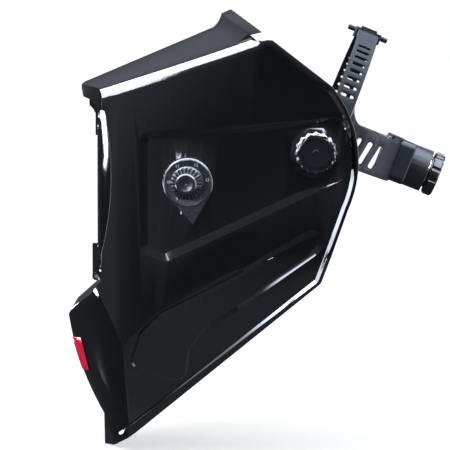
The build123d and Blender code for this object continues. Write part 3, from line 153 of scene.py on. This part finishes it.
def round_edges(piece, width, angle, segments):
    """Adds the bevel that rounds moulded edges."""
    bevel = piece.modifiers.new("edge round", "BEVEL")
    bevel.limit_method = "ANGLE"
    bevel.angle_limit = math.radians(angle)
    bevel.width = width
    bevel.segments = segments
    bevel.harden_normals = True
    bevel.use_clamp_overlap = True


def soften_edges(piece, width):
    """Rounds the moulded edges of a CAD node with live modifiers."""
    weld = piece.modifiers.new("merge", "WELD")
    weld.merge_threshold = WELD_DISTANCE
    flat = piece.modifiers.new("flat faces", "DECIMATE")
    flat.decimate_type = "DISSOLVE"
    flat.angle_limit = FLAT_ANGLE
    round_edges(piece, width, 32.0, 2)


# ---------------------------------------------------------------- materials

def moulded_gloss_shell():
    """Gloss black nylon, injection moulded: mirror-like with a faint wave in it."""
    material, tree, surface = new_material("moulded gloss nylon, shell", "#090a0c", 0.07, IOR=1.5)
    at = place(tree)
    wave = add(tree, "ShaderNodeTexNoise", {"Vector": at, "Scale": 55.0, "Detail": 1.0})
    wave_bump = add(tree, "ShaderNodeBump", {"Height": wave.outputs["Fac"], "Strength": 0.05,
                                             "Distance": 0.001})
    dust = add(tree, "ShaderNodeTexNoise", {"Vector": at, "Scale": 900.0, "Detail": 2.0})
    haze = add(tree, "ShaderNodeMapRange", {"Value": dust.outputs["Fac"], "From Min": 0.35, "From Max": 0.8,
                                            "To Min": 0.04, "To Max": 0.09})
    tree.links.new(haze.outputs["Result"], surface.inputs["Roughness"])
    tree.links.new(wave_bump.outputs["Normal"], surface.inputs["Normal"])
    return material


def moulded_gloss_trim(name, colour, roughness, gloss=0.5):
    """Gloss black ABS of the small mouldings."""
    material, tree, surface = new_material(name, colour, roughness, IOR=1.5, Specular_IOR_Level=gloss)
    at = place(tree)
    grain = add(tree, "ShaderNodeTexNoise", {"Vector": at, "Scale": 700.0, "Detail": 2.0})
    bump = add(tree, "ShaderNodeBump", {"Height": grain.outputs["Fac"], "Strength": 0.06, "Distance": 0.0002})
    tree.links.new(bump.outputs["Normal"], surface.inputs["Normal"])
    shade = add(tree, "ShaderNodeMapRange", {"Value": grain.outputs["Fac"], "To Min": roughness * 0.8,
                                             "To Max": roughness * 1.3})
    tree.links.new(shade.outputs["Result"], surface.inputs["Roughness"])
    return material


def eroded_plastic(name, colour, roughness, grain_mm=0.5, depth=0.25, gloss=0.2):
    """Satin ABS from a spark-eroded tool: a fine even grain."""
    material, tree, surface = new_material(name, colour, roughness, IOR=1.5, Specular_IOR_Level=gloss)
    at = place(tree)
    grain = add(tree, "ShaderNodeTexNoise", {"Vector": at, "Scale": 1000.0 / grain_mm / 2, "Detail": 2.0})
    bump = add(tree, "ShaderNodeBump", {"Height": grain.outputs["Fac"], "Strength": depth,
                                        "Distance": 0.0002})
    tree.links.new(bump.outputs["Normal"], surface.inputs["Normal"])
    cloud = add(tree, "ShaderNodeTexNoise", {"Vector": at, "Scale": 45.0, "Detail": 3.0})
    shade = add(tree, "ShaderNodeMapRange", {"Value": cloud.outputs["Fac"], "To Min": roughness * 0.85,
                                             "To Max": roughness * 1.15})
    tree.links.new(shade.outputs["Result"], surface.inputs["Roughness"])
    return material


def plated_steel(name, colour, roughness):
    """Zinc-plated steel with turning marks."""
    material, tree, surface = new_material(name, colour, roughness, Metallic=1.0)
    at = place(tree)
    marks = add(tree, "ShaderNodeTexNoise", {"Vector": at, "Scale": 1500.0, "Detail": 2.0})
    shade = add(tree, "ShaderNodeMapRange", {"Value": marks.outputs["Fac"], "To Min": roughness * 0.7,
                                             "To Max": roughness * 1.4})
    tree.links.new(shade.outputs["Result"], surface.inputs["Roughness"])
    return material


def clear_polycarbonate():
    """Clear polished polycarbonate sheet."""
    material, _, surface = new_material("clear polycarbonate", "#eef4f4", 0.02, IOR=1.585)
    surface.inputs["Transmission Weight"].default_value = 1.0
    return material


def filter_glass():
    """Liquid-crystal filter behind an interference coating: dark green, mirror-like."""
    material, _, surface = new_material("coated filter glass", "#123a2a", 0.03, IOR=1.52)
    surface.inputs["Metallic"].default_value = 0.45
    surface.inputs["Coat Weight"].default_value = 1.0
    surface.inputs["Coat Roughness"].default_value = 0.02
    return material


def solar_cell():
    """Amorphous silicon cell strips under glass."""
    material, tree, surface = new_material("amorphous silicon cell", "#1b1013", 0.12)
    at = place(tree)
    strips = add(tree, "ShaderNodeTexWave", {"Vector": at, "Scale": 25.0}, bands_direction="X")
    line = add(tree, "ShaderNodeMapRange", {"Value": strips.outputs["Fac"], "From Min": 0.02,
                                            "From Max": 0.05})
    tint = add(tree, "ShaderNodeMix", {"Factor": line.outputs["Result"]}, data_type="RGBA")
    tint.inputs[6].default_value = linear("#6c6f74")
    tint.inputs[7].default_value = linear("#1b1013")
    tree.links.new(tint.outputs[2], surface.inputs["Base Color"])
    return material


def circuit_board():
    """Glass-epoxy board under green solder mask with traces."""
    material, tree, surface = new_material("solder mask board", "#0d5a2e", 0.28)
    at = place(tree)
    cells = add(tree, "ShaderNodeTexVoronoi", {"Vector": at, "Scale": 260.0}, distance="CHEBYCHEV")
    trace = add(tree, "ShaderNodeMapRange", {"Value": cells.outputs["Distance"], "From Min": 0.30,
                                             "From Max": 0.36})
    tint = add(tree, "ShaderNodeMix", {"Factor": trace.outputs["Result"]}, data_type="RGBA")
    tint.inputs[6].default_value = linear("#0d5a2e")
    tint.inputs[7].default_value = linear("#1f7d46")
    tree.links.new(tint.outputs[2], surface.inputs["Base Color"])
    return material


def woven_cloth(name, colour, light, thread_mm):
    """Black looped cloth over foam: threads over and under, soft sheen, and a painted highlight that colours the
    raised threads lighter.
    """
    material, tree, surface = new_material(name, colour, 0.92)
    surface.inputs["Sheen Weight"].default_value = 0.35
    surface.inputs["Sheen Roughness"].default_value = 0.5
    at = place(tree)
    threads = {"Vector": at, "Scale": 1 / (thread_mm * MM) / 3.2, "Distortion": 1.5, "Detail": 1.0}
    across = add(tree, "ShaderNodeTexWave", threads, bands_direction="X")
    along = add(tree, "ShaderNodeTexWave", threads, bands_direction="Z")
    weave = add(tree, "ShaderNodeMath", {0: across.outputs["Fac"], 1: along.outputs["Fac"]},
                operation="MULTIPLY")
    bump = add(tree, "ShaderNodeBump", {"Height": weave.outputs[0], "Strength": 0.6, "Distance": 0.0004})
    tree.links.new(bump.outputs["Normal"], surface.inputs["Normal"])
    # painted highlight: where the weave stands highest the black cloth is coloured a lighter grey
    tint = add(tree, "ShaderNodeMix", {"Factor": weave.outputs[0]}, data_type="RGBA")
    tint.inputs[6].default_value = linear(colour)
    tint.inputs[7].default_value = linear(light)
    tree.links.new(tint.outputs[2], surface.inputs["Base Color"])
    return material


def dress_nodes():
    shell = moulded_gloss_shell()
    trim = moulded_gloss_trim("moulded gloss ABS, trim", "#101216", 0.14)
    band = moulded_gloss_trim("moulded polyamide, bands", "#2a2d32", 0.42, 0.10)
    knob = eroded_plastic("satin ABS, shade knob", "#181b20", 0.28, 0.5, 0.12, 0.35)
    cap = eroded_plastic("fine-textured ABS, knob caps", "#0c0e10", 0.35, 0.4, 0.1, 0.10)
    strap = moulded_gloss_trim("flexible polyethylene, crown straps", "#25282c", 0.5, 0.05)
    dial_plate = moulded_gloss_trim("moulded ABS, dial plate", "#23282e", 0.25)
    grip = eroded_plastic("satin ABS, size knob", "#16181b", 0.32, 0.5, 0.1, 0.2)
    matt = eroded_plastic("spark-eroded ABS, housings", "#1b1e22", 0.45, 0.6, 0.2, 0.12)
    grey = eroded_plastic("grey acetal", "#56585c", 0.40, 0.6, 0.1)
    red = moulded_gloss_trim("red ABS, test button", "#a0141c", 0.2)
    badge = moulded_gloss_trim("red enamelled badge", "#d81e40", 0.12)
    rubber = eroded_plastic("black cable rubber", "#0e0e0f", 0.6, 0.8, 0.2)
    fibre = eroded_plastic("pressed fibre", "#4a382a", 0.8, 0.5, 0.3)
    zinc = plated_steel("zinc-plated steel", "#b9bbbf", 0.3)
    steel = plated_steel("polished spring steel", "#c2c4c8", 0.18)
    looks = {
        shell: ("shell",),
        dial_plate: ("dial_base",),
        trim: ("tension_knob_left", "tension_knob_right", "lens_frame"),
        grip: ("ratchet_knob",),
        strap: ("crown_strap_left", "crown_strap_right", "crown_buckle"),
        band: ("side_arm_left", "side_arm_right", "headband_front", "headband_rear_left", "headband_rear_right",
               "rear_cradle"),
        knob: ("shade_knob",),
        cap: ("knob_cap_left", "knob_cap_right"),
        matt: ("cartridge_holder", "filter_housing_front", "filter_housing_rear", "battery_tray", "cable_clips",
               "pivot_bolt_left", "pivot_bolt_right", "tilt_limiter_left", "tilt_limiter_right", "band_rivets",
               "ratchet_housing"),
        grey: ("sensitivity_knob", "delay_knob", "mode_switch", "shade_potentiometer", "ratchet_pinion"),
        red: ("test_button",),
        badge: ("chin_badge",),
        rubber: ("shade_cable",),
        fibre: ("friction_washer_left", "friction_washer_right"),
        zinc: ("holder_screws", "tension_nut_left", "tension_nut_right", "potentiometer_nut",
               "potentiometer_shaft", "coin_cell"),
        steel: ("frame_hinge_pins", "detent_ring"),
        clear_polycarbonate(): ("cover_lens", "inner_cover_lens"),
        filter_glass(): ("filter_glass", "arc_sensors"),
        solar_cell(): ("solar_cell",),
        circuit_board(): ("circuit_board",),
        woven_cloth("sweatband cloth", "#101113", "#2a2c30", 0.9): ("sweatband", "rear_pad"),
    }
    for material, names in looks.items():
        for name in names:
            dress(name, material)


# ---------------------------------------------------------------- shell

BOSS_REACH = 21 * MM            # the pivot boss, whose walls stay as they are
SIDE_FROM = 55 * MM             # half width beyond which a face belongs to the sides
PANEL = ((-133, 15), (22, 27), (22, -20), (-114, -84), (-133, -76))
CHANNEL = ((-143, -166), (-134, -138), (-119, -122), (-55, -88), (6, -52),
           (6, -74), (-58, -121), (-84, -137), (-95, -153), (-98.6, -181))
# the rear opening runs down one way and back up the same way, so that it has no straight closing side
OPENING = ((-63.6, 108.3), (12.5, 49.5), (25.5, 27), (32.0, 5), (32.6, -7), (30.6, -26), (25, -43),
           (4.6, -100.3), (-139, -221), (4.6, -100.3), (25, -43), (30.6, -26), (32.6, -7), (32.0, 5), (25.5, 27),
           (12.5, 49.5))


def side_surface(y, z):
    """Half width of the shell's outer surface at a point of the side view, in millimetres."""
    side = 117.5 - (y + 35) ** 2 / 780 - 0.0787 * (50 - z)
    jaw = 95 - (0.0777 * (y - 4.6) - 0.4290 * (z + 100.3)) / 0.8999
    return min(side, jaw)


def outline_distance(corners, y, z):
    """Distance from a point to a closed outline."""
    nearest = 1000.0
    for index, corner in enumerate(corners):
        start, end = Vector(corner), Vector(corners[(index + 1) % len(corners)])
        along = end - start
        share = max(0.0, min(1.0, (Vector((y, z)) - start).dot(along) / along.length_squared))
        nearest = min(nearest, (start + along * share - Vector((y, z))).length)
    return nearest


def upright_walls(mesh, corners, reach, depth_range, foot_depth):
    """Upright walls along an outline: their faces, and their foot and head vertices with the way inward."""
    walls, feet, heads = [], {}, {}
    for face in mesh.polygons:
        gap = outline_distance(corners, face.center.y / MM, face.center.z / MM)
        if abs(face.normal.x) > 0.2 or abs(face.center.x) < SIDE_FROM or not reach[0] < gap < reach[1]:
            continue
        if math.hypot(face.center.y, face.center.z) < BOSS_REACH:
            continue
        points = [mesh.vertices[index].co / MM for index in face.vertices]
        depths = [side_surface(point.y, point.z) - abs(point.x) for point in points]
        if min(depths) < depth_range[0] or max(depths) > depth_range[1]:
            continue
        walls.append(face.index)
        for index, depth in zip(face.vertices, depths):
            ends = feet if depth > foot_depth else heads
            ends[index] = ends.get(index, Vector((0, 0))) + Vector((face.normal.y, face.normal.z))
    return walls, feet, heads


def shift_along_side(mesh, ways, distance_at):
    """Moves vertices along the side surface, each the distance of its place."""
    for index, way in ways.items():
        at = mesh.vertices[index].co
        before = side_surface(at.y / MM, at.z / MM)
        at.yz = at.yz + way.normalized() * distance_at(at.y / MM) * MM
        at.x += (side_surface(at.y / MM, at.z / MM) - before) * math.copysign(MM, at.x)


def lean_walls(piece, found, draft_at, round_width, head_shift=0.0):
    """Leans walls as a mould does, the foot moved inward by the draft of its place, and rounds both ends."""
    walls, feet, heads = found
    shift_along_side(piece.data, feet, draft_at)
    if head_shift:
        shift_along_side(piece.data, heads, lambda y: head_shift)
    bevel_loops(piece, walls, round_width)


def bevel_loops(piece, faces, width, segments=3):
    """Rounds the edges that bound a set of faces."""
    only(piece)
    bpy.ops.object.mode_set(mode="EDIT")
    bpy.ops.mesh.select_mode(type="FACE")
    bpy.ops.mesh.select_all(action="DESELECT")
    bpy.ops.object.mode_set(mode="OBJECT")
    for index in faces:
        piece.data.polygons[index].select = True
    bpy.ops.object.mode_set(mode="EDIT")
    bpy.ops.mesh.region_to_loop()
    bpy.ops.mesh.bevel(offset=width * MM, segments=segments, affect="EDGES", clamp_overlap=True)
    bpy.ops.object.mode_set(mode="OBJECT")


def end_faces(mesh):
    """The end faces all along the rear and bottom opening."""
    return [face.index for face in mesh.polygons
            if abs(face.normal.x) < 0.2 and abs(face.center.x) > SIDE_FROM
            and outline_distance(OPENING, face.center.y / MM, face.center.z / MM) < 3.0
            and face.normal.y - face.normal.z * 0.2 > 0.2]


def bevel_creases(piece, edges, width, segments=3):
    """Rounds a set of edges."""
    only(piece)
    bpy.ops.object.mode_set(mode="EDIT")
    bpy.ops.mesh.select_mode(type="EDGE")
    bpy.ops.mesh.select_all(action="DESELECT")
    bpy.ops.object.mode_set(mode="OBJECT")
    for index in edges:
        piece.data.edges[index].select = True
    bpy.ops.object.mode_set(mode="EDIT")
    bpy.ops.mesh.bevel(offset=width * MM, segments=segments, affect="EDGES", clamp_overlap=True)
    bpy.ops.object.mode_set(mode="OBJECT")


def facet_creases(mesh):
    """The long creases between the hollow front facets and the sides."""
    sides = {}
    for face in mesh.polygons:
        for key in face.edge_keys:
            sides.setdefault(key, []).append(face.normal)
    found = []
    for edge in mesh.edges:
        ends = [mesh.vertices[index].co / MM for index in edge.vertices]
        middle = (ends[0] + ends[1]) / 2
        if not (-164 < middle.y < -149 and -116 < middle.z < 40 and abs(middle.x) > 84):
            continue
        normals = sides[tuple(sorted(edge.vertices))]
        outward = len(normals) == 2 and all(normal.x * middle.x > 0.3 for normal in normals)
        if outward and math.degrees(normals[0].angle(normals[1])) > 9.0:
            found.append(edge.index)
    return found


LIP_TOP = Vector((-63.6, 108.3))            # rear end of the roof's ridge in the side view
LIP_INWARD = Vector((-0.611, -0.791))       # from the roof's rear edge into the roof


def roof_lip_flare():
    """The hollow rise that fills the corner between the roof and its lip."""
    start, step = 19.9, 7.0                 # depths where the rise begins and where the lip stands
    rows, columns, half_width = 14, 60, 111.0
    cover = 0.04                            # how far the flare lies over the shell
    down = Vector((0, -LIP_INWARD.y, LIP_INWARD.x))

    def surface(x, depth):
        middle = LIP_TOP + LIP_INWARD * depth
        origin = (Vector((x, middle.x, middle.y)) - down * 60) * MM
        hit, spot, _, _ = nodes["shell"].ray_cast(origin, down, distance=110 * MM)
        return spot / MM if hit else None

    deselect()
    bpy.ops.mesh.primitive_grid_add(x_subdivisions=columns, y_subdivisions=rows, size=1)
    flare = bpy.context.active_object
    for vertex in flare.data.vertices:
        column = round((vertex.co.x + 0.5) * columns)
        share = round((vertex.co.y + 0.5) * rows) / (rows - 1)
        at_end = column in (0, columns)
        x = half_width * (2 * min(max(column - 1, 0), columns - 2) / (columns - 2) - 1)
        roof = surface(x, start + (step + 0.3 - start) * min(share, 1.0))
        foot, top = surface(x, step + 0.3), surface(x, step - 0.7)
        rise = max(0.0, (foot - top).dot(down)) if foot and top else 0.0
        if share > 1.0 and not at_end:
            spot = surface(x, step - 1.5) - down * cover
        else:
            height = 0.0 if at_end else rise * min(share, 1.0) ** 1.5 + cover
            spot = roof - down * height
        vertex.co = spot * MM
    return flare


def moulded_shell():
    """The shell with drafted sunken areas and moulded edges."""
    piece = separate_copy("shell", "shell_moulding")
    weld_mesh(piece)
    lean_walls(piece, upright_walls(piece.data, PANEL, (-1, 6), (-0.4, 1.8), 0.9),
               lambda y: 6.0 * max(0.0, min(1.0, (12 - y) / 20)), 2.2)
    lean_walls(piece, upright_walls(piece.data, CHANNEL, (-1, 6), (-0.4, 1.8), 0.9),
               lambda y: 2.1 + 2.8 * max(0.0, min(1.0, (y + 75) / 50)), 0.3)
    lean_walls(piece, upright_walls(piece.data, OPENING, (4, 10), (-2.9, 0.4), -0.6),
               lambda y: -1.8, 0.7, -4.4)
    bevel_loops(piece, end_faces(piece.data), 1.0, 4)
    bevel_creases(piece, facet_creases(piece.data), 0.9)
    round_edges(piece, 1.1 * MM, 34, 3)
    apply_modifiers(piece)
    flare = roof_lip_flare()
    for material in piece.data.materials:
        flare.data.materials.append(material)
    only(piece)
    flare.select_set(True)
    bpy.ops.object.join()
    bpy.ops.object.shade_smooth_by_angle(angle=SMOOTH_ANGLE)
    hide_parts("shell")
    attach(piece, "shell_body")


# ---------------------------------------------------------------- small mouldings

DIAL_OUT = Vector((0.9850, -0.1540, -0.0775)).normalized()
DIAL_AFT = (Vector((0.155, 1, 0)) - DIAL_OUT * Vector((0.155, 1, 0)).dot(DIAL_OUT)).normalized()
DIAL_UP = DIAL_OUT.cross(DIAL_AFT)
DIAL_SEAT = Vector((106.98, -96.0, -23.0)) * MM - DIAL_OUT * (SUNK - 0.45) * MM


def dial_place(aft, up, rise):
    """A frame on the dial's plate, millimetres from its middle."""
    at = DIAL_SEAT + (DIAL_AFT * aft + DIAL_UP * up + DIAL_OUT * rise) * MM
    turn = Matrix((DIAL_AFT, DIAL_UP, DIAL_OUT)).transposed().to_4x4()
    return Matrix.Translation(at) @ turn


def dial_figure(words, aft, up, size, material):
    """A printed figure on the dial's plate."""
    deselect()
    bpy.ops.object.text_add()
    figure = bpy.context.active_object
    figure.name = "dial_mark_" + words.replace("*", "dot")
    figure.data.body = words
    figure.data.size = size * MM
    figure.data.align_x = "CENTER"
    figure.data.align_y = "CENTER"
    figure.data.extrude = 0.02 * MM
    only(figure)
    bpy.ops.object.convert(target="MESH")
    figure.matrix_world = dial_place(aft, up, 2.74)
    settle(figure)
    figure.data.materials.clear()
    figure.data.materials.append(material)
    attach(figure, "shell_body")


def dial_block(name, aft, up, size, material, lean=0.0):
    """A small raised bar on the dial's plate."""
    deselect()
    bpy.ops.mesh.primitive_cube_add(size=1)
    bar = bpy.context.active_object
    bar.name = name
    bar.scale = (size[0] * MM, size[1] * MM, size[2] * MM)
    bpy.ops.object.transform_apply(location=False, rotation=False, scale=True)
    bpy.ops.object.mode_set(mode="EDIT")
    bpy.ops.mesh.bevel(offset=0.15 * MM, segments=2, affect="EDGES")
    bpy.ops.object.mode_set(mode="OBJECT")
    bar.matrix_world = dial_place(aft, up, 2.6 + size[2] / 2) @ Matrix.Rotation(lean, 4, "Z")
    settle(bar)
    bar.data.materials.append(material)
    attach(bar, "shell_body")


def dial_scale():
    """Shade numbers 9 to 13 round the knob, a locking mark and the setting dot."""
    ink = eroded_plastic("white pad-printed ink", "#e8eaec", 0.5, 0.4, 0.05)
    radius = 15.0
    for words, turn in (("9", 235), ("10", 178), ("11", 122), ("12", 65), ("13", 9)):
        angle = math.radians(turn)
        dial_figure(words, radius * math.cos(angle), radius * math.sin(angle), 3.3, ink)
    angle = math.radians(-48)
    dial_block("dial_end_mark", radius * math.cos(angle), radius * math.sin(angle), (0.7, 2.2, 0.1), ink,
               angle)
    dial_block("dial_setting_mark", -5.6, -22.6, (0.7, 2.4, 0.1), ink)


def short_badge():
    """The red chin badge, its ends cut off along the rake of the chin."""
    piece = separate_copy("chin_badge", "chin_badge_plate")
    only(piece)
    bpy.ops.object.mode_set(mode="EDIT")
    bpy.ops.mesh.select_all(action="SELECT")
    bpy.ops.mesh.remove_doubles(threshold=WELD_DISTANCE)
    bpy.ops.mesh.select_all(action="SELECT")
    bpy.ops.mesh.bisect(plane_co=(0, -0.1815, -0.1427), plane_no=(0, 0.976, 0.2165), use_fill=True,
                        clear_outer=True)
    bpy.ops.object.mode_set(mode="OBJECT")
    soften_edges(piece, 0.25 * MM)
    apply_modifiers(piece)
    only(piece)
    bpy.ops.object.shade_smooth_by_angle(angle=SMOOTH_ANGLE)
    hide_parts("chin_badge")
    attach(piece, "shell_body")


def rear_bands():
    """The rear bands, whole mouldings that ride on the headgear and don't follow the ratchet box."""
    for side in ("left", "right"):
        name = "headband_rear_" + side
        piece = separate_copy(name, name + "_moulding")
        soften_edges(piece, 0.3 * MM)
        apply_modifiers(piece)
        only(piece)
        bpy.ops.object.shade_smooth_by_angle(angle=SMOOTH_ANGLE)
        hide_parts(name)
        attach(piece, "headgear")


def faceted_tension_knob(side):
    """The ring knob with polished hollow facets round its shoulder."""
    name = "tension_knob_" + side
    sign = 1 if side == "left" else -1
    facets, orbit, out, radius = 15, 17.6 * MM, 125.9 * MM, 6.4 * MM
    piece = separate_copy(name, name + "_faceted")
    weld_mesh(piece)
    deselect()
    scoops = []
    for step in range(facets):
        turn = 2 * math.pi * step / facets
        at = (sign * out, orbit * math.cos(turn), orbit * math.sin(turn))
        bpy.ops.mesh.primitive_ico_sphere_add(subdivisions=3, radius=radius, location=at)
        scoops.append(bpy.context.active_object)
    for scoop in scoops:
        scoop.select_set(True)
    bpy.ops.object.join()
    cutter = bpy.context.active_object
    cutter.name = "scoops"
    scoop_cut = piece.modifiers.new("hollow facets", "BOOLEAN")
    scoop_cut.operation = "DIFFERENCE"
    scoop_cut.solver = "EXACT"
    scoop_cut.use_self = True
    scoop_cut.object = cutter
    apply_modifiers(piece)
    bpy.data.objects.remove(cutter)
    only(piece)
    bpy.ops.object.shade_smooth_by_angle(angle=math.radians(28))
    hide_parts(name)
    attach(piece, "tension_" + side)


def soften_mouldings():
    """Moulded edges of the small parts."""
    widths = {
        "ratchet_housing": 0.9, "ratchet_knob": 0.8, "shade_knob": 0.3, "dial_base": 0.35, "crown_buckle": 0.5,
        "lens_frame": 0.5, "cartridge_holder": 0.35, "side_arm_left": 0.5, "side_arm_right": 0.5,
        "headband_front": 0.35, "crown_strap_left": 0.3, "crown_strap_right": 0.3, "rear_cradle": 0.4,
        "knob_cap_left": 0.25, "knob_cap_right": 0.25,
    }
    for name, width in widths.items():
        soften_edges(nodes[name], width * MM)


# ---------------------------------------------------------------- studio

def make_camera():
    data = bpy.data.cameras.new("camera")
    data.lens = 253.2
    data.sensor_width = 36.0
    data.clip_start = 0.1
    data.clip_end = 50.0
    camera = bpy.data.objects.new("camera", data)
    bpy.context.scene.collection.objects.link(camera)
    camera.location = (2.4953, -0.0683, 0.0911)
    aim = Vector((0, -0.0683, -0.0615)) - camera.location
    camera.rotation_euler = aim.to_track_quat("-Z", "Y").to_euler()
    bpy.context.scene.camera = camera


def softbox(name, size, at, aim, radiance):
    """An area light of a stated brightness."""
    data = bpy.data.lights.new(name, "AREA")
    data.shape = "RECTANGLE"
    data.size, data.size_y = size
    data.energy = radiance * math.pi * size[0] * size[1]
    light = bpy.data.objects.new(name, data)
    bpy.context.scene.collection.objects.link(light)
    light.location = at
    light.rotation_euler = (Vector(aim) - Vector(at)).to_track_quat("-Z", "Y").to_euler()
    light.visible_camera = False


def make_floor():
    """Pale sweep that keeps the shadow; what mirrors sees the studio behind it."""
    low = min(cad_low[2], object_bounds()[0][2])
    bpy.ops.mesh.primitive_plane_add(size=30, location=(0, 0, low - 0.001))
    floor = bpy.context.active_object
    floor.name = "floor"
    material, tree, surface = new_material("pale floor", "#e9eaec", 0.9)
    surface.inputs["Specular IOR Level"].default_value = 0.0
    rays = add(tree, "ShaderNodeLightPath")
    bright = add(tree, "ShaderNodeMath", {0: rays.outputs["Is Camera Ray"], 1: 0.42}, operation="MULTIPLY")
    surface.inputs["Emission Color"].default_value = (1, 1, 1, 1)
    tree.links.new(bright.outputs[0], surface.inputs["Emission Strength"])
    clear = add(tree, "ShaderNodeBsdfTransparent")
    shown = add(tree, "ShaderNodeMixShader", {0: rays.outputs["Is Glossy Ray"], 1: surface.outputs[0],
                                              2: clear.outputs[0]})
    tree.links.new(shown.outputs[0], tree.nodes["Material Output"].inputs["Surface"])
    floor.data.materials.append(material)


def sector(tree, value, start, end, low=0.0, high=1.0):
    """A smooth step of a value from one level to another."""
    step = add(tree, "ShaderNodeMapRange", {"Value": value, "From Min": start, "From Max": end,
                                            "To Min": low, "To Max": high}, interpolation_type="SMOOTHSTEP")
    return step.outputs["Result"]


def combine(tree, kind, *values):
    """Adds or multiplies several values."""
    total = values[0]
    for value in values[1:]:
        total = add(tree, "ShaderNodeMath", {0: total, 1: value}, operation=kind).outputs[0]
    return total


def card(tree, ray, aim, half_angle, soft, radiance):
    """A round card that the gloss mirrors, seen in the direction aim."""
    facing = add(tree, "ShaderNodeVectorMath", {0: ray, 1: Vector(aim).normalized()}, operation="DOT_PRODUCT")
    return sector(tree, facing.outputs["Value"], math.cos(math.radians(half_angle + soft)),
                  math.cos(math.radians(half_angle)), 0.0, radiance)


def make_world():
    """White where it is looked at, a plain level where it lights, cards and strips where it is mirrored."""
    world = bpy.data.worlds.new("studio")
    bpy.context.scene.world = world
    world.use_nodes = True
    tree = world.node_tree
    rays = add(tree, "ShaderNodeLightPath")
    ray = add(tree, "ShaderNodeTexCoord").outputs["Generated"]
    parts = add(tree, "ShaderNodeSeparateXYZ", {"Vector": ray}).outputs
    near_side = sector(tree, parts["X"], -0.05, 0.15)
    far_side = sector(tree, parts["X"], 0.15, -0.05)
    side_level = combine(tree, "ADD", sector(tree, parts["Z"], -0.30, 0.10, 0.10, 0.42),
                         sector(tree, parts["Z"], -0.45, -0.80, 0.0, 0.25),
                         sector(tree, parts["Y"], -0.15, -0.75, 0.0, 0.35))
    backdrop = combine(tree, "MULTIPLY", sector(tree, parts["Z"], 0.0, 0.75, 0.09, 0.56),
                       sector(tree, parts["Y"], 0.25, -0.35, 0.62, 1.0))
    lamp = combine(tree, "MULTIPLY", sector(tree, parts["Z"], 0.42, 0.56, 0.0, LAMP),
                   sector(tree, parts["X"], -0.42, -0.30), sector(tree, parts["Y"], -0.97, -0.86),
                   sector(tree, parts["Y"], 0.92, 0.78))
    low_strip = combine(tree, "MULTIPLY", sector(tree, parts["Z"], -0.02, 0.07, 0.0, 24.0),
                        sector(tree, parts["Y"], -0.45, -0.58), sector(tree, parts["Y"], -0.93, -0.82),
                        sector(tree, parts["X"], 0.18, 0.32))
    upright = combine(tree, "MULTIPLY", sector(tree, parts["Z"], -0.55, -0.10, 0.3, 16.0),
                      sector(tree, parts["Z"], 0.45, 0.20), sector(tree, parts["Y"], -0.84, -0.90),
                      sector(tree, parts["X"], 0.02, 0.12))
    total = combine(tree, "ADD", combine(tree, "MULTIPLY", near_side, side_level),
                    combine(tree, "MULTIPLY", far_side, backdrop), lamp, low_strip, upright,
                    card(tree, ray, (0.10, 0.99, 0.0), 22, 12, 9.0),
                    card(tree, ray, (-0.12, -0.85, 0.52), 11, 5, 24.0),
                    card(tree, ray, (-0.334, -0.91, -0.245), 4.8, 2.8, 50.0))
    lit = add(tree, "ShaderNodeBackground", {"Color": (0.90, 0.98, 1.16, 1), "Strength": total})
    plain = add(tree, "ShaderNodeBackground", {"Color": (1, 1, 1, 1), "Strength": 0.75})
    white = add(tree, "ShaderNodeBackground", {"Color": (1, 1, 1, 1), "Strength": 1.0})
    seen = add(tree, "ShaderNodeMath", {0: rays.outputs["Is Camera Ray"],
                                        1: rays.outputs["Is Transmission Ray"]}, operation="MAXIMUM")
    worked = add(tree, "ShaderNodeMixShader", {0: rays.outputs["Is Glossy Ray"], 1: plain.outputs[0],
                                               2: lit.outputs[0]})
    shown = add(tree, "ShaderNodeMixShader", {0: seen.outputs[0], 1: worked.outputs[0], 2: white.outputs[0]})
    tree.links.new(shown.outputs[0], tree.nodes["World Output"].inputs["Surface"])


def make_lights():
    softbox("overhead", (1.6, 1.6), (0.4, -0.3, 2.2), (0, -0.05, 0), 2.2)


dress_nodes()
moulded_shell()
soften_mouldings()
faceted_tension_knob("left")
faceted_tension_knob("right")
short_badge()
rear_bands()
dial_scale()
make_camera()
make_floor()
make_world()
make_lights()
scene = bpy.context.scene
scene.view_settings.view_transform = "Standard"
